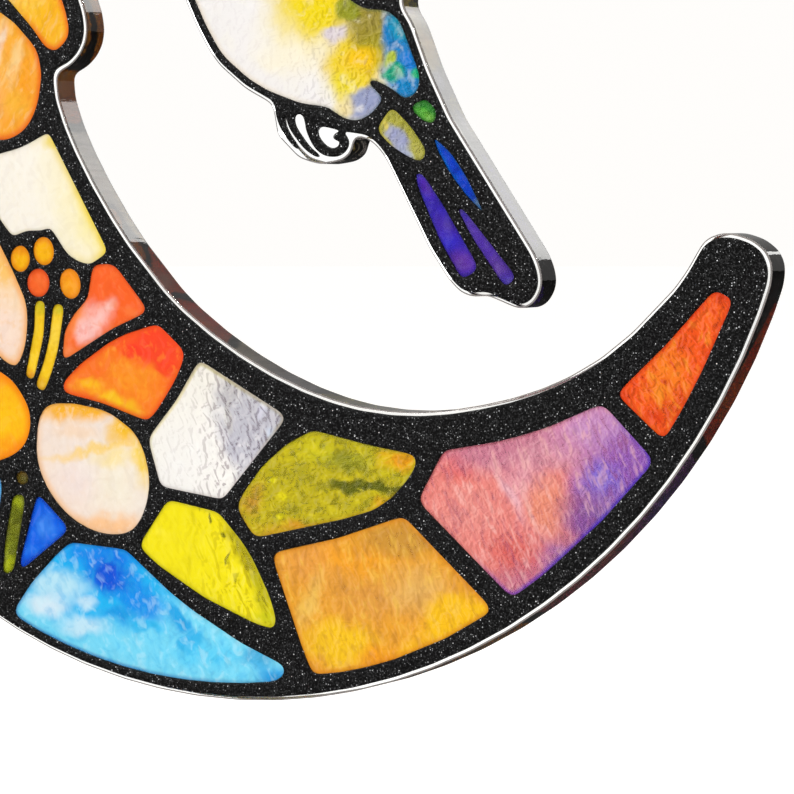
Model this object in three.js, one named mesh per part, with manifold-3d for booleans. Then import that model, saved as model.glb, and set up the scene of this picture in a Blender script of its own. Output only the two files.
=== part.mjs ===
// Hanging sun catcher: a laser-cut clear plate in the shape of a crescent moon with a hummingbird
// hovering in its opening, raised black leading on the front face and thin coloured panes between.
// Drawing plane: x to the right, z up, in millimetres. The part's origin is the hanging hole.
import * as THREE from 'three';
import { mergeVertices } from 'three/addons/utils/BufferGeometryUtils.js';
import Module from 'manifold-3d';

const wasm = await Module();
wasm.setup();
const { Manifold, Mesh } = wasm;

const plateThickness = 3.0;
const plateMargin = 0.5; // clear acrylic that shows outside the black
const leadingHeight = 0.4;
const paneHeight = 0.2;
const paneGap = 0.03;
const joinWidth = 1.0; // leading between two panes
const chordTolerance = 0.04;
const growTolerance = 0.03;
const mergeDistance = 0.00001;
const smallestEdge = 0.004;
const outlineTolerance = 0.1;
const windowTrim = 0.12; // the leading's shoulder over the edge of a pane
const roundSegments = 12;

const moonCentre = [-18.5, 29.1];
const moonRadius = 57.7;
const openingCentre = [0.6, 37.0];
const openingRadius = 38.5;
const hornCutFromAxis = 38.2; // degrees to each side of the crescent's axis
const hornRounding = 2.7;
const moonAxis = Math.atan2(openingCentre[1] - moonCentre[1], openingCentre[0] - moonCentre[0]);
const rimWidth = 1.9;
const innerRimWidth = 2.7;

const holePosition = [-26.3, 89.6];
const holeRadius = 1.25;
const tabRadius = 3.3;

const degrees = Math.PI / 180;

// ---- outline helpers: every outline is an array of [x, z] points ----

function polar(centre, radius, angle) {
  return [centre[0] + radius * Math.cos(angle), centre[1] + radius * Math.sin(angle)];
}

function arc(centre, radius, from, to) {
  const step = 2 * Math.acos(1 - chordTolerance / radius);
  const count = Math.max(2, Math.ceil(Math.abs(to - from) / step));
  const points = [];
  for (let i = 0; i <= count; i += 1) {
    points.push(polar(centre, radius, from + ((to - from) * i) / count));
  }
  return points;
}

function smoothLine(points, perSpan, closed = false) {
  const knots = points.map(([x, z]) => new THREE.Vector3(x, z, 0));
  const curve = new THREE.CatmullRomCurve3(knots, closed, 'centripetal');
  const spans = closed ? points.length : points.length - 1;
  const samples = curve.getPoints(spans * perSpan);
  if (closed) {
    samples.pop();
  }
  return samples.map((p) => [p.x, p.y]);
}

function signedArea(points) {
  let sum = 0;
  points.forEach(([x, z], i) => {
    const [nextX, nextZ] = points[(i + 1) % points.length];
    sum += x * nextZ - nextX * z;
  });
  return sum / 2;
}

// Corners are [x, z, swell]: swell bows the edge to the next corner outwards, in mm.
function bowedOutline(corners) {
  const side = Math.sign(signedArea(corners));
  const points = [];
  corners.forEach(([x, z, swell = 0], i) => {
    const [nextX, nextZ] = corners[(i + 1) % corners.length];
    const length = Math.hypot(nextX - x, nextZ - z);
    const steps = swell === 0 ? 1 : Math.ceil(1 + Math.sqrt(Math.abs(swell) / chordTolerance));
    const out = [((nextZ - z) / length) * side, (-(nextX - x) / length) * side];
    for (let k = 0; k < steps; k += 1) {
      const t = k / steps;
      const rise = 4 * swell * t * (1 - t);
      points.push([x + (nextX - x) * t + out[0] * rise, z + (nextZ - z) * t + out[1] * rise]);
    }
  });
  return points;
}

// ---- slabs: an outline one millimetre thick, so that outlines can be joined and cut as solids ----

function extruded(outer, holes, depth) {
  const toVectors = (loop) => loop.map(([x, z]) => new THREE.Vector2(x, z));
  const shape = new THREE.Shape(toVectors(outer));
  shape.holes = holes.map((loop) => new THREE.Path(toVectors(loop)));
  return new THREE.ExtrudeGeometry(shape, { depth, bevelEnabled: false, curveSegments: 1 });
}

function region(outer, holes = []) {
  const geometry = extruded(outer, holes, 1);
  geometry.deleteAttribute('normal');
  geometry.deleteAttribute('uv');
  const { index, attributes } = mergeVertices(geometry, mergeDistance);
  return new Manifold(new Mesh({
    numProp: 3,
    vertProperties: attributes.position.array,
    triVerts: new Uint32Array(index.array),
  }));
}

// The outlines round a slab's upper face: outer ones run anticlockwise, holes clockwise.
function loopsOf(shape) {
  const { numProp, vertProperties, triVerts } = shape.getMesh();
  const edges = new Set();
  for (let t = 0; t < triVerts.length; t += 3) {
    const corners = [...triVerts.slice(t, t + 3)];
    if (corners.every((vertex) => vertProperties[vertex * numProp + 2] > 0.5)) {
      corners.forEach((vertex, i) => edges.add(`${vertex} ${corners[(i + 1) % 3]}`));
    }
  }
  const onward = new Map();
  edges.forEach((edge) => {
    const [from, to] = edge.split(' ').map(Number);
    if (!edges.has(`${to} ${from}`)) {
      onward.set(from, [...(onward.get(from) ?? []), to]);
    }
  });
  const loops = [];
  while (onward.size > 0) {
    const [start] = onward.keys();
    const loop = [];
    let vertex = start;
    do {
      loop.push([vertProperties[vertex * numProp], vertProperties[vertex * numProp + 1]]);
      const choices = onward.get(vertex);
      const next = choices.pop();
      if (choices.length === 0) {
        onward.delete(vertex);
      }
      vertex = next;
    } while (vertex !== start);
    loops.push(loop);
  }
  return loops;
}

// Keeps the points of an open line that lie further than the tolerance off its chords.
function thinLine(points, tolerance) {
  const first = points[0];
  const last = points[points.length - 1];
  const chord = [last[0] - first[0], last[1] - first[1]];
  const length = Math.hypot(...chord) || 1;
  let furthest = 0;
  let split = 0;
  points.forEach(([x, z], i) => {
    const off = Math.abs(chord[0] * (z - first[1]) - chord[1] * (x - first[0])) / length;
    if (off > furthest) {
      furthest = off;
      split = i;
    }
  });
  if (furthest <= tolerance) {
    return [first, last];
  }
  const before = thinLine(points.slice(0, split + 1), tolerance);
  return [...before.slice(0, -1), ...thinLine(points.slice(split), tolerance)];
}

function thinLoop(loop, tolerance) {
  const distances = loop.map(([x, z]) => Math.hypot(x - loop[0][0], z - loop[0][1]));
  const far = distances.indexOf(Math.max(...distances));
  const halves = [loop.slice(0, far + 1), [...loop.slice(far), loop[0]]];
  return halves.flatMap((half) => thinLine(half, tolerance).slice(0, -1));
}

function thinned(shape, tolerance) {
  const pieces = loopsOf(shape).map((loop) => thinLoop(loop, tolerance)).filter((loop) => loop.length > 2);
  const holes = pieces.filter((loop) => signedArea(loop) < 0).map((loop) => region(loop));
  const whole = Manifold.union(pieces.filter((loop) => signedArea(loop) > 0).map((loop) => region(loop)));
  return holes.length > 0 ? whole.subtract(Manifold.union(holes)) : whole;
}

function disc(centre, radius) {
  return region(arc(centre, radius, 0, 2 * Math.PI).slice(0, -1));
}

// Everything within a distance of one straight edge.
function aroundEdge([x, z], [nextX, nextZ], distance) {
  const along = Math.atan2(nextZ - z, nextX - x);
  const points = [];
  for (let i = 0; i <= roundSegments / 2; i += 1) {
    points.push(polar([nextX, nextZ], distance, along + (2 * Math.PI * i) / roundSegments - Math.PI / 2));
  }
  for (let i = 0; i <= roundSegments / 2; i += 1) {
    points.push(polar([x, z], distance, along + (2 * Math.PI * i) / roundSegments + Math.PI / 2));
  }
  return region(points);
}

function grow(shape, amount) {
  const loops = loopsOf(shape).map((loop) => thinLoop(loop, growTolerance));
  const edges = loops.flatMap((loop) => loop.map((point, i) => [point, loop[(i + 1) % loop.length]]));
  const border = Manifold.union(edges.map(([from, to]) => aroundEdge(from, to, Math.abs(amount))));
  return amount > 0 ? shape.add(border) : shape.subtract(border);
}

function roundCorners(shape, radius) {
  return grow(grow(shape, -radius), radius);
}

function fillCorners(shape, radius) {
  return grow(grow(shape, radius), -radius);
}

function together(shapes) {
  return Manifold.union(shapes);
}

// ---- pane and line shapes ----

function cornerPane(corners, radius = 0.7) {
  return roundCorners(region(bowedOutline(corners)), radius);
}

function smoothPane(points) {
  return region(smoothLine(points, 3, true));
}

function oval(centre, width, height, lean = 0) {
  const points = [];
  const count = 14;
  for (let i = 0; i < count; i += 1) {
    const turn = (2 * Math.PI * i) / count;
    const across = (width / 2) * Math.cos(turn);
    const up = (height / 2) * Math.sin(turn);
    points.push([
      centre[0] + across * Math.cos(lean) - up * Math.sin(lean),
      centre[1] + across * Math.sin(lean) + up * Math.cos(lean),
    ]);
  }
  return region(points);
}

// A stroke along a smooth line, from one width at its start to another at its end.
function stroke(points, startWidth, endWidth) {
  const line = smoothLine(points, 4);
  const left = [];
  const right = [];
  line.forEach(([x, z], i) => {
    const before = line[Math.max(0, i - 1)];
    const after = line[Math.min(line.length - 1, i + 1)];
    const length = Math.hypot(after[0] - before[0], after[1] - before[1]);
    const half = (startWidth + ((endWidth - startWidth) * i) / (line.length - 1)) / 2;
    const across = [(-(after[1] - before[1]) / length) * half, ((after[0] - before[0]) / length) * half];
    left.push([x + across[0], z + across[1]]);
    right.push([x - across[0], z - across[1]]);
  });
  return region([...left, ...right.reverse()]);
}

// A petal that grows from a point: narrow at its root, full towards its rounded end.
function petal(root, angle, start, length, width) {
  const profile = [[0, 0.16], [0.3, 0.78], [0.62, 1.0], [0.88, 0.72], [1.0, 0]];
  const upper = profile.map(([t, w]) => [start + length * t, (width / 2) * w]);
  const lower = profile.slice(0, -1).reverse().map(([t, w]) => [start + length * t, (-width / 2) * w]);
  const turned = [...upper, ...lower].map(([along, across]) => [
    root[0] + along * Math.cos(angle) - across * Math.sin(angle),
    root[1] + along * Math.sin(angle) + across * Math.cos(angle),
  ]);
  return smoothPane(turned);
}

// A flight feather: one wedge of a fan, with a rounded tip.
function feather(shoulder, angle, start, end, spread) {
  const half = (radius) => radius * Math.tan((spread * degrees) / 2) - joinWidth * 0.42;
  const tipStart = end - half(end) * 0.8;
  const wedge = [[start, half(start), 0.25], [tipStart, half(tipStart), half(end) * 0.75],
    [tipStart, -half(tipStart), 0.25], [start, -half(start), 0]];
  const corners = wedge.map(([along, across, swell]) => [
    shoulder[0] + along * Math.cos(angle) - across * Math.sin(angle),
    shoulder[1] + along * Math.sin(angle) + across * Math.cos(angle),
    swell,
  ]);
  return cornerPane(corners, 0.35);
}

function mirrored(corners) {
  const across = new THREE.Vector2(Math.cos(2 * moonAxis), Math.sin(2 * moonAxis));
  return corners.map(([x, z, swell = 0]) => {
    const dx = x - moonCentre[0];
    const dz = z - moonCentre[1];
    const x2 = moonCentre[0] + dx * across.x + dz * across.y;
    const z2 = moonCentre[1] + dx * across.y - dz * across.x;
    return [x2, z2, swell];
  });
}

// ---- panes of the moon's lower horn ----

const hornTipCorners = [[31.2, 10.2], [33.3, 9.4, 0.3], [26.6, -3.4], [21.7, 0.8, -0.25]];
const violetCorners = [[4.5, -4.6, -0.75], [20.6, 0.1], [25.9, -4.9, 0.6], [11.7, -18.0],
  [1.8, -9.4]];
const amberCorners = [[0.6, -10.7], [10.1, -18.9, 1.2], [-9.1, -26.2, 0.2], [-13.7, -14.8, -0.35]];
const oliveCorners = [[-8.9, -3.1, -0.2], [2.5, -5.2, 0.7], [-2.6, -10.6, 0.2], [-15.4, -13.7],
  [-17.5, -10.8, 1.1]];
const whiteCorners = [[-21.4, 3.2], [-11.5, -2.1], [-18.7, -10.3], [-25.9, -9.3],
  [-27.3, -4.6, -0.35]];
const limeCorners = [[-25.1, -10.2], [-19.2, -11.2, 1.1], [-12.4, -22.5, 0.9], [-28.5, -15.1]];
const skyCorners = [[-36.0, -14.7], [-29.6, -15.2, -1.1], [-10.9, -25.6], [-13.0, -27.0, 2.3],
  [-43.2, -22.3, 0.5]];
const smallBlueCorners = [[-39.9, -10.0], [-35.8, -13.7, -0.1], [-42.6, -18.7]];
const stemCorners = [[-42.8, -10.4], [-41.0, -10.4], [-42.5, -18.0], [-44.3, -19.0, 0.2]];

const panes = {
  horn_tip_pane: cornerPane(hornTipCorners, 0.6),
  violet_pane: cornerPane(violetCorners, 0.8),
  amber_pane: cornerPane(amberCorners, 0.75),
  olive_pane: cornerPane(oliveCorners, 0.75),
  white_pane: cornerPane(whiteCorners, 0.6),
  lime_pane: cornerPane(limeCorners, 0.9),
  sky_pane: cornerPane(skyCorners, 0.75),
  small_blue_pane: cornerPane(smallBlueCorners, 0.5),
  stem_pane: cornerPane(stemCorners, 0.5),
  bud_pane: oval([-41.6, -8.9], 2.0, 1.8),
};

// ---- lower bloom, with its stamens ----

panes.bloom_petal_blush = smoothPane([[-39.0, -1.9], [-35.6, -1.4], [-31.0, -2.4], [-28.0, -4.7],
  [-26.8, -9.2], [-28.6, -13.4], [-32.4, -14.0], [-36.6, -12.2], [-39.5, -8.6], [-40.1, -4.9]]);
panes.bloom_petal_red = cornerPane([[-25.9, 6.4], [-22.6, 3.6, 0.4], [-27.0, -3.2, -0.35],
  [-37.9, -0.5, 1.2]], 0.8);
panes.bloom_petal_coral = cornerPane([[-33.5, 11.7, 0.3], [-30.6, 11.8], [-26.7, 7.4, -0.4],
  [-37.1, 2.1], [-36.7, 5.6, 0.2], [-34.0, 8.6]], 0.45);
panes.bloom_petal_cream = smoothPane([[-43.3, 12.6], [-41.8, 10.0], [-40.8, 7.6], [-41.2, 3.3],
  [-42.4, 1.7], [-46.6, 4.6], [-51.8, 8.8], [-53.4, 13.8], [-50.0, 16.6], [-45.4, 15.6]]);
panes.bloom_petal_gold = smoothPane([[-44.0, 1.5], [-41.4, -0.7], [-40.4, -3.4], [-41.4, -6.0],
  [-45.0, -7.6], [-50.2, -7.4], [-54.4, -4.0], [-53.8, 0.6], [-49.0, 2.8]]);
panes.filament_left = stroke([[-39.4, 8.4], [-39.5, 5.6], [-40.0, 3.2], [-40.75, 0.6]], 1.55, 1.4);
panes.filament_right = stroke([[-37.2, 8.1], [-37.6, 5.2], [-38.35, 2.4], [-39.6, -0.4]], 1.6, 1.5);
panes.anther_outer = oval([-41.7, 12.3], 2.7, 3.0);
panes.anther_upper = oval([-38.95, 13.05], 2.8, 3.2, 12 * degrees);
panes.anther_middle = oval([-39.6, 10.0], 3.05, 3.1);
panes.anther_right = oval([-35.9, 9.95], 2.8, 3.4, 15 * degrees);

panes.cream_pane = cornerPane([[-38.3, 24.7], [-31.3, 13.0], [-33.5, 11.6, 0.2], [-36.4, 12.7, -0.1],
  [-38.3, 15.3, 0.3], [-40.2, 15.0, -0.2], [-42.6, 14.2], [-44.6, 16.4, -0.3],
  [-45.0, 22.4, -0.4]], 0.45);

// ---- upper bloom ----

const upperBloomCentre = [-50.2, 41.4];
panes.upper_petal_right = smoothPane([[-43.2, 37.3], [-40.4, 34.5], [-38.8, 32.5], [-37.3, 32.1],
  [-35.8, 33.6], [-36.2, 36.2], [-38.4, 40.0], [-42.2, 42.6], [-46.0, 42.2], [-46.2, 39.8]]);
panes.upper_petal_low = smoothPane([[-44.0, 36.3], [-41.3, 34.4], [-39.3, 31.9], [-39.0, 28.9],
  [-40.7, 24.9], [-44.2, 23.6], [-48.4, 26.2], [-50.6, 31.0], [-50.4, 36.0], [-47.6, 38.0]]);
const upperPetalAngles = { left: 206, crown: 137, top: 66 };
Object.entries(upperPetalAngles).forEach(([name, angle]) => {
  panes[`upper_petal_${name}`] = petal(upperBloomCentre, angle * degrees, 2.9, 13.4, 11.2);
});
panes.upper_bloom_eye = disc(upperBloomCentre, 1.8);

// ---- upper horn: the lower horn's panes mirrored across the crescent's axis ----

panes.upper_horn_tip_pane = cornerPane(mirrored(hornTipCorners), 0.6);
panes.upper_rose_pane = cornerPane(mirrored(violetCorners), 0.8);
panes.upper_gold_pane = cornerPane(mirrored(amberCorners), 0.75);
panes.upper_leaf_pane = cornerPane(mirrored(oliveCorners), 0.75);

// ---- thick side of the moon: what the blooms leave free, cut by spokes ----

const spokes = [[[-52.0, 49.0], 128], [[-58.0, 41.8], 174], [[-60.0, 33.0], 197],
  [[-44.5, 20.5], 190], [[-45.0, 4.4], 206]];
const drawnPanes = together(Object.values(panes));
const field = disc(moonCentre, moonRadius - rimWidth)
  .subtract(disc(openingCentre, openingRadius + innerRimWidth));
const fieldEnds = region([[-23.0, 34.0], [-23.0, 90.0], [-90.0, 90.0], [-90.0, -40.0],
  [-43.9, -40.0], [-43.9, 0.0], [-44.9, 6.0], [-44.9, 24.0]]);
const spokeLength = 45;
const cuts = spokes.map(([from, angle]) => (
  stroke([from, polar(from, spokeLength, angle * degrees)], joinWidth, joinWidth)
));
const leftOver = field.intersect(fieldEnds).subtract(grow(drawnPanes, joinWidth)).subtract(together(cuts));
const smallestPane = 14; // square millimetres
roundCorners(leftOver, 0.8).decompose()
  .filter((shape) => shape.volume() > smallestPane)
  .sort((one, other) => one.boundingBox().min[1] - other.boundingBox().min[1])
  .forEach((shape, i) => {
    panes[`limb_pane_${i + 1}`] = shape;
  });

// ---- hummingbird ----

panes.bird_body = smoothPane([[-19.3, 32.0], [-16.9, 29.7], [-13.8, 27.9], [-10.4, 26.7],
  [-7.4, 26.3], [-5.9, 25.3], [-4.2, 25.0], [-2.5, 25.8], [-1.4, 27.0], [-0.4, 27.2], [0.7, 26.9],
  [1.9, 27.3], [2.4, 28.7], [1.4, 31.4], [0.1, 34.3], [-1.2, 35.2], [-3.2, 35.3], [-5.4, 36.5],
  [-8.0, 39.4], [-9.8, 43.4], [-11.0, 49.0], [-16.4, 50.6], [-23.0, 49.2], [-24.2, 44.6],
  [-23.2, 39.8]]);
panes.bird_throat = smoothPane([[-24.4, 54.9], [-20.4, 55.6], [-15.6, 54.9], [-10.2, 50.6],
  [-16.6, 51.8], [-22.9, 50.9]]);
panes.bird_crown = smoothPane([[-24.9, 57.3], [-23.0, 60.4], [-19.4, 61.6], [-15.6, 60.4],
  [-12.6, 57.2], [-10.9, 53.6], [-15.0, 56.2], [-18.6, 57.3], [-22.0, 57.0]]);
panes.rump_pane = cornerPane([[2.7, 27.3], [4.2, 26.0], [3.9, 24.5], [2.4, 24.9],
  [0.7, 26.4, -0.15]], 0.3);
panes.under_tail_pane = cornerPane([[-0.7, 26.6, 0.25], [3.2, 22.2], [2.6, 21.1, 0.5],
  [-2.5, 24.3]], 0.4);
panes.tail_blue_pane = smoothPane([[3.4, 23.8], [5.5, 22.2], [7.8, 18.9], [9.0, 16.4], [6.8, 18.3],
  [4.5, 21.3]]);
panes.tail_purple_pane = cornerPane([[1.4, 20.5, 0.1], [2.6, 20.4, 0.15], [8.5, 11.7],
  [6.5, 10.5, 0.4]], 0.4);
panes.tail_violet_pane = cornerPane([[4.9, 19.0, 0.15], [12.3, 10.9], [10.9, 9.9, 0.35]], 0.35);

const nearShoulder = [-4.0, 43.5];
const nearFeathers = [[9, 28], [24, 31.5], [39, 34], [54, 35], [69, 34.5]];
nearFeathers.forEach(([angle, reach], i) => {
  panes[`near_wing_feather_${i + 1}`] = feather(nearShoulder, angle * degrees, 9.6, reach, 15);
});
panes.near_wing_covert = smoothPane([[-2.0, 36.7], [0.8, 38.6], [3.6, 42.2], [4.2, 46.2],
  [2.2, 50.4], [-2.4, 52.4], [-7.4, 51.8], [-9.5, 48.0], [-8.6, 43.4], [-6.6, 39.4], [-4.4, 37.2]]);
const farShoulder = [-7.6, 48.2];
const farFeathers = [[88, 22], [104, 19.5]];
farFeathers.forEach(([angle, reach], i) => {
  panes[`far_wing_feather_${i + 1}`] = feather(farShoulder, angle * degrees, 6.6, reach, 15);
});

// ---- black leading: its outline, with a hole for every pane ----

const lowerHornCut = moonAxis - hornCutFromAxis * degrees;
const upperHornCut = moonAxis + hornCutFromAxis * degrees;
const innerEdge = [[30.1, 14.0], [28.9, 11.6], [26.2, 8.4], [20.3, 3.5], [14.5, 0.7], [8.5, -0.9],
  [2.4, -1.7], [-3.9, -1.4], [-10.2, 0.2], [-16.7, 3.1], [-23.3, 7.4], [-27.4, 11.3], [-31.4, 16.2],
  [-35.4, 22.5], [-37.6, 27.5], [-38.0, 31.0]];
const openingTop = arc(openingCentre, openingRadius, 178 * degrees, 20 * degrees);
const moonOpening = region([...smoothLine(innerEdge, 2), ...openingTop, [60.0, 40.0]]);
const wedgeReach = 90;
const hornWedge = region([moonCentre, polar(moonCentre, wedgeReach, lowerHornCut),
  polar(moonCentre, wedgeReach, upperHornCut)]);
const sharpCrescent = disc(moonCentre, moonRadius).subtract(moonOpening).subtract(hornWedge);
const crescent = roundCorners(sharpCrescent, hornRounding);

const tail = region([[-7.4, 26.6], [-7.6, 24.6], ...smoothLine([[-5.6, 24.1], [-3.2, 23.8],
  [-1.2, 22.0], [0.8, 18.3], [2.5, 15.2], [4.4, 12.2], [6.4, 9.9], [7.6, 9.5], [9.0, 9.7],
  [10.6, 9.1], [12.2, 8.5], [13.5, 9.0], [14.2, 10.6], [13.4, 13.0], [9.9, 18.0], [5.0, 25.1],
  [2.1, 30.9], [-0.1, 35.8], [1.0, 39.0]], 2), [-2.0, 40.0], [-4.6, 36.2], [-1.0, 33.0],
  [0.0, 29.0]]);
const thigh = region([[-13.2, 27.7], [-12.8, 25.4], [-11.3, 25.9], [-9.9, 25.8], [-9.6, 24.0],
  [-8.6, 24.0], [-8.3, 24.7], [-6.6, 24.4], [-5.4, 25.2], [-7.0, 26.9], [-10.4, 27.4]]);
const toes = together([
  stroke([[-12.4, 27.0], [-12.4, 25.4], [-11.7, 23.9], [-10.4, 22.5]], 0.8, 0.35),
  stroke([[-11.4, 26.2], [-11.3, 24.9], [-10.4, 23.6], [-9.4, 22.5], [-8.2, 21.8]], 0.8, 0.35),
  stroke([[-9.2, 24.9], [-8.9, 23.7], [-8.2, 22.7], [-7.2, 22.2], [-6.1, 22.3], [-5.5, 23.1],
    [-6.0, 23.8], [-6.8, 23.5]], 0.95, 0.75),
]);
const footLobe = region([[-12.9, 26.6], [-12.6, 24.1], [-10.5, 22.1], [-8.4, 21.5], [-6.6, 21.7],
  [-5.2, 22.6], [-5.1, 23.6], [-4.6, 24.4], [-8.0, 27.0]]);
const beak = stroke([[-23.4, 57.2], [-30.0, 54.6], [-39.6, 49.2]], 2.6, 1.1);
const eye = disc([-21.1, 57.4], 1.2);
const shoulderInk = disc([-9.6, 52.6], 1.8);
const rumpSpur = stroke([[-2.9, 28.7], [-1.8, 28.0], [-0.2, 26.9]], 0.35, 1.1);

const birdPanes = ['bird_body', 'bird_throat', 'bird_crown'].map((name) => panes[name]);
const wingPanes = Object.keys(panes).filter((name) => name.includes('wing')).map((name) => panes[name]);
const birdLine = 0.55;
const wingLine = 0.75;
const birdInk = [grow(together(birdPanes), birdLine), grow(together(wingPanes), wingLine), shoulderInk];
const bird = fillCorners(together(birdInk), 1.2);
const bulge = grow(panes.upper_petal_right, 1.5);
const tab = disc(holePosition, tabRadius);
const tabRootAngles = [102.5, 93.5];
const tabRoot = region([
  ...tabRootAngles.map((angle) => polar(moonCentre, moonRadius - 1, angle * degrees)),
  [holePosition[0] + 2.4, holePosition[1] - 1.9],
  [holePosition[0] - 2.4, holePosition[1] - 1.9],
]);
const moon = fillCorners(together([crescent, bulge, tab, tabRoot]), 0.8);
const body = together([fillCorners(together([moon, bird, beak]), 0.5), tail, thigh, toes]);
const ink = body.subtract(disc(holePosition, holeRadius + plateMargin));
const inkOverPanes = together([eye, rumpSpur]);
const windows = Object.fromEntries(Object.entries(panes).map(([name, shape]) => (
  [name, thinned(grow(shape.subtract(inkOverPanes), -windowTrim), outlineTolerance)]
)));
const leadingOutline = thinned(ink, outlineTolerance).subtract(together(Object.values(windows)));
const plateOutline = thinned(grow(together([body, footLobe]), plateMargin), outlineTolerance)
  .subtract(disc(holePosition, holeRadius));

// ---- solids ----

function colour(hex, roughness, opacity = 1) {
  const transparent = opacity < 1;
  return new THREE.MeshStandardMaterial({ color: hex, roughness, metalness: 0, transparent, opacity });
}

// Outlines become a plate between two depths; the front faces -Y.
function solid(name, outline, front, back, material) {
  const loops = loopsOf(outline).map((loop) => thinLoop(loop, smallestEdge));
  const outer = loops.filter((loop) => signedArea(loop) > 0);
  if (outer.length !== 1) {
    throw new Error(`${name} is in ${outer.length} pieces`);
  }
  const geometry = extruded(outer[0], loops.filter((loop) => signedArea(loop) < 0), back - front);
  geometry.translate(-holePosition[0], -holePosition[1], 0);
  geometry.rotateX(Math.PI / 2);
  geometry.translate(0, back, 0);
  const mesh = new THREE.Mesh(geometry, material);
  mesh.name = name;
  return mesh;
}

const paneColours = {
  horn_tip_pane: 0xf25e1c,
  violet_pane: 0xb27bb8,
  amber_pane: 0xefae36,
  olive_pane: 0xb9ab24,
  white_pane: 0xe6e6ee,
  lime_pane: 0xe0d40e,
  sky_pane: 0x46b6ea,
  small_blue_pane: 0x1259d0,
  stem_pane: 0x7c9a2a,
  bud_pane: 0x8d7a2c,
  bloom_petal_blush: 0xf3dcc4,
  bloom_petal_red: 0xff5a2c,
  bloom_petal_coral: 0xff8a66,
  bloom_petal_cream: 0xfbe6cf,
  bloom_petal_gold: 0xffb514,
  filament_left: 0xf6cf2c,
  filament_right: 0xf6cf2c,
  anther_outer: 0xffae12,
  anther_upper: 0xffae12,
  anther_middle: 0xff6a2a,
  anther_right: 0xff9a18,
  cream_pane: 0xfdf2cc,
  upper_petal_right: 0xffb32c,
  upper_petal_low: 0xffa53a,
  upper_petal_left: 0xff9a2e,
  upper_petal_crown: 0xff7f2a,
  upper_petal_top: 0xffa22a,
  upper_bloom_eye: 0xf4d23a,
  upper_horn_tip_pane: 0xe8732a,
  upper_rose_pane: 0xd77aa0,
  upper_gold_pane: 0xeebc3c,
  upper_leaf_pane: 0x8fae34,
  bird_body: 0xf1ead0,
  bird_throat: 0xd23a6e,
  bird_crown: 0x2f9a62,
  rump_pane: 0x3fa03a,
  under_tail_pane: 0xb7b072,
  tail_blue_pane: 0x0b3fc8,
  tail_purple_pane: 0x4a30c0,
  tail_violet_pane: 0x5a38b8,
};
const limbColours = [0x58b8d8, 0xe6d24a, 0x3c78d0, 0xcfe0e8, 0xa8b83a, 0xe9a23c, 0x7fc0e0];
const featherColours = [0x1f5fd0, 0x2a8fd8, 0x35b0c8, 0x4fb88a, 0x7a62c8];

function paneColour(name) {
  if (name in paneColours) {
    return paneColours[name];
  }
  const number = Number(name.split('_').pop());
  const family = name.startsWith('limb') ? limbColours : featherColours;
  return Number.isNaN(number) ? 0x2f9ab0 : family[(number - 1) % family.length];
}

const plateFront = -plateThickness / 2;
const plateBack = plateThickness / 2;
const leadingFront = plateFront - leadingHeight;
const paneFront = plateFront - paneHeight;
const clearAcrylic = colour(0xeef3f4, 0.05, 0.35);
const blackLeading = colour(0x17171a, 0.6);
const suncatcher = new THREE.Group();
suncatcher.name = 'moon_and_hummingbird_suncatcher';
suncatcher.add(solid('clear_plate', plateOutline, plateFront, plateBack, clearAcrylic));
suncatcher.add(solid('black_leading', leadingOutline, leadingFront, plateFront, blackLeading));
Object.entries(windows).forEach(([name, opening]) => {
  const outline = thinned(grow(opening, -paneGap), paneGap / 2);
  const tint = colour(paneColour(name), 0.15, 0.85);
  suncatcher.add(solid(name, outline, paneFront, plateFront, tint));
});

export default suncatcher;
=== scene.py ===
import math

import bmesh
import bpy
import numpy as np
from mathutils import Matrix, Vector, kdtree, noise


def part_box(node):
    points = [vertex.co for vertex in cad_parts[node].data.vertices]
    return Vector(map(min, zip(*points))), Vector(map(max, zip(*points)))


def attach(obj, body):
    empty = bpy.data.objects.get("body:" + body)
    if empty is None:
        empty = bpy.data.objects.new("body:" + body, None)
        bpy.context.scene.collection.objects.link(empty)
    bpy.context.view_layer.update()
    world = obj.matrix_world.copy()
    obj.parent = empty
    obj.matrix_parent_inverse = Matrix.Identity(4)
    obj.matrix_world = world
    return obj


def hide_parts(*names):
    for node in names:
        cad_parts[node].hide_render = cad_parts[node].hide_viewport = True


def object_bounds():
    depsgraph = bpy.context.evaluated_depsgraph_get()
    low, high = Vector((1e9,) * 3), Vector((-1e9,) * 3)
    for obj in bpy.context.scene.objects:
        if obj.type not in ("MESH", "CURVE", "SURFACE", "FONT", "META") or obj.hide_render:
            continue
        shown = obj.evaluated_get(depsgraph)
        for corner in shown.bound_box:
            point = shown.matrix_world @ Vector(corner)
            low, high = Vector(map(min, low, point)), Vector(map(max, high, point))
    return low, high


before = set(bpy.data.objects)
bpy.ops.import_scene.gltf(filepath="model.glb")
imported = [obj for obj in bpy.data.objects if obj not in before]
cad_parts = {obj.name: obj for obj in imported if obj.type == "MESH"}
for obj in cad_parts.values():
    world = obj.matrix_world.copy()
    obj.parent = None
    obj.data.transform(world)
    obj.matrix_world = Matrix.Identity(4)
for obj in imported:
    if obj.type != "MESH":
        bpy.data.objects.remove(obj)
cadLow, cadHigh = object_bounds()
mm = 0.001
mergeDistance = 2e-6  # corners closer than this are one
print("frame loaded:", len(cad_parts), "nodes")

cameraSet = {
    "azimuth": 29.0,
    "elevation": 3.0,
    "distance": 0.3182,
    "lens": 158.69,
    "aim": (0.0263, -0.0019, -0.0896),
    "sensor": 36,
    "clip": (0.01, 60),
}


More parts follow.
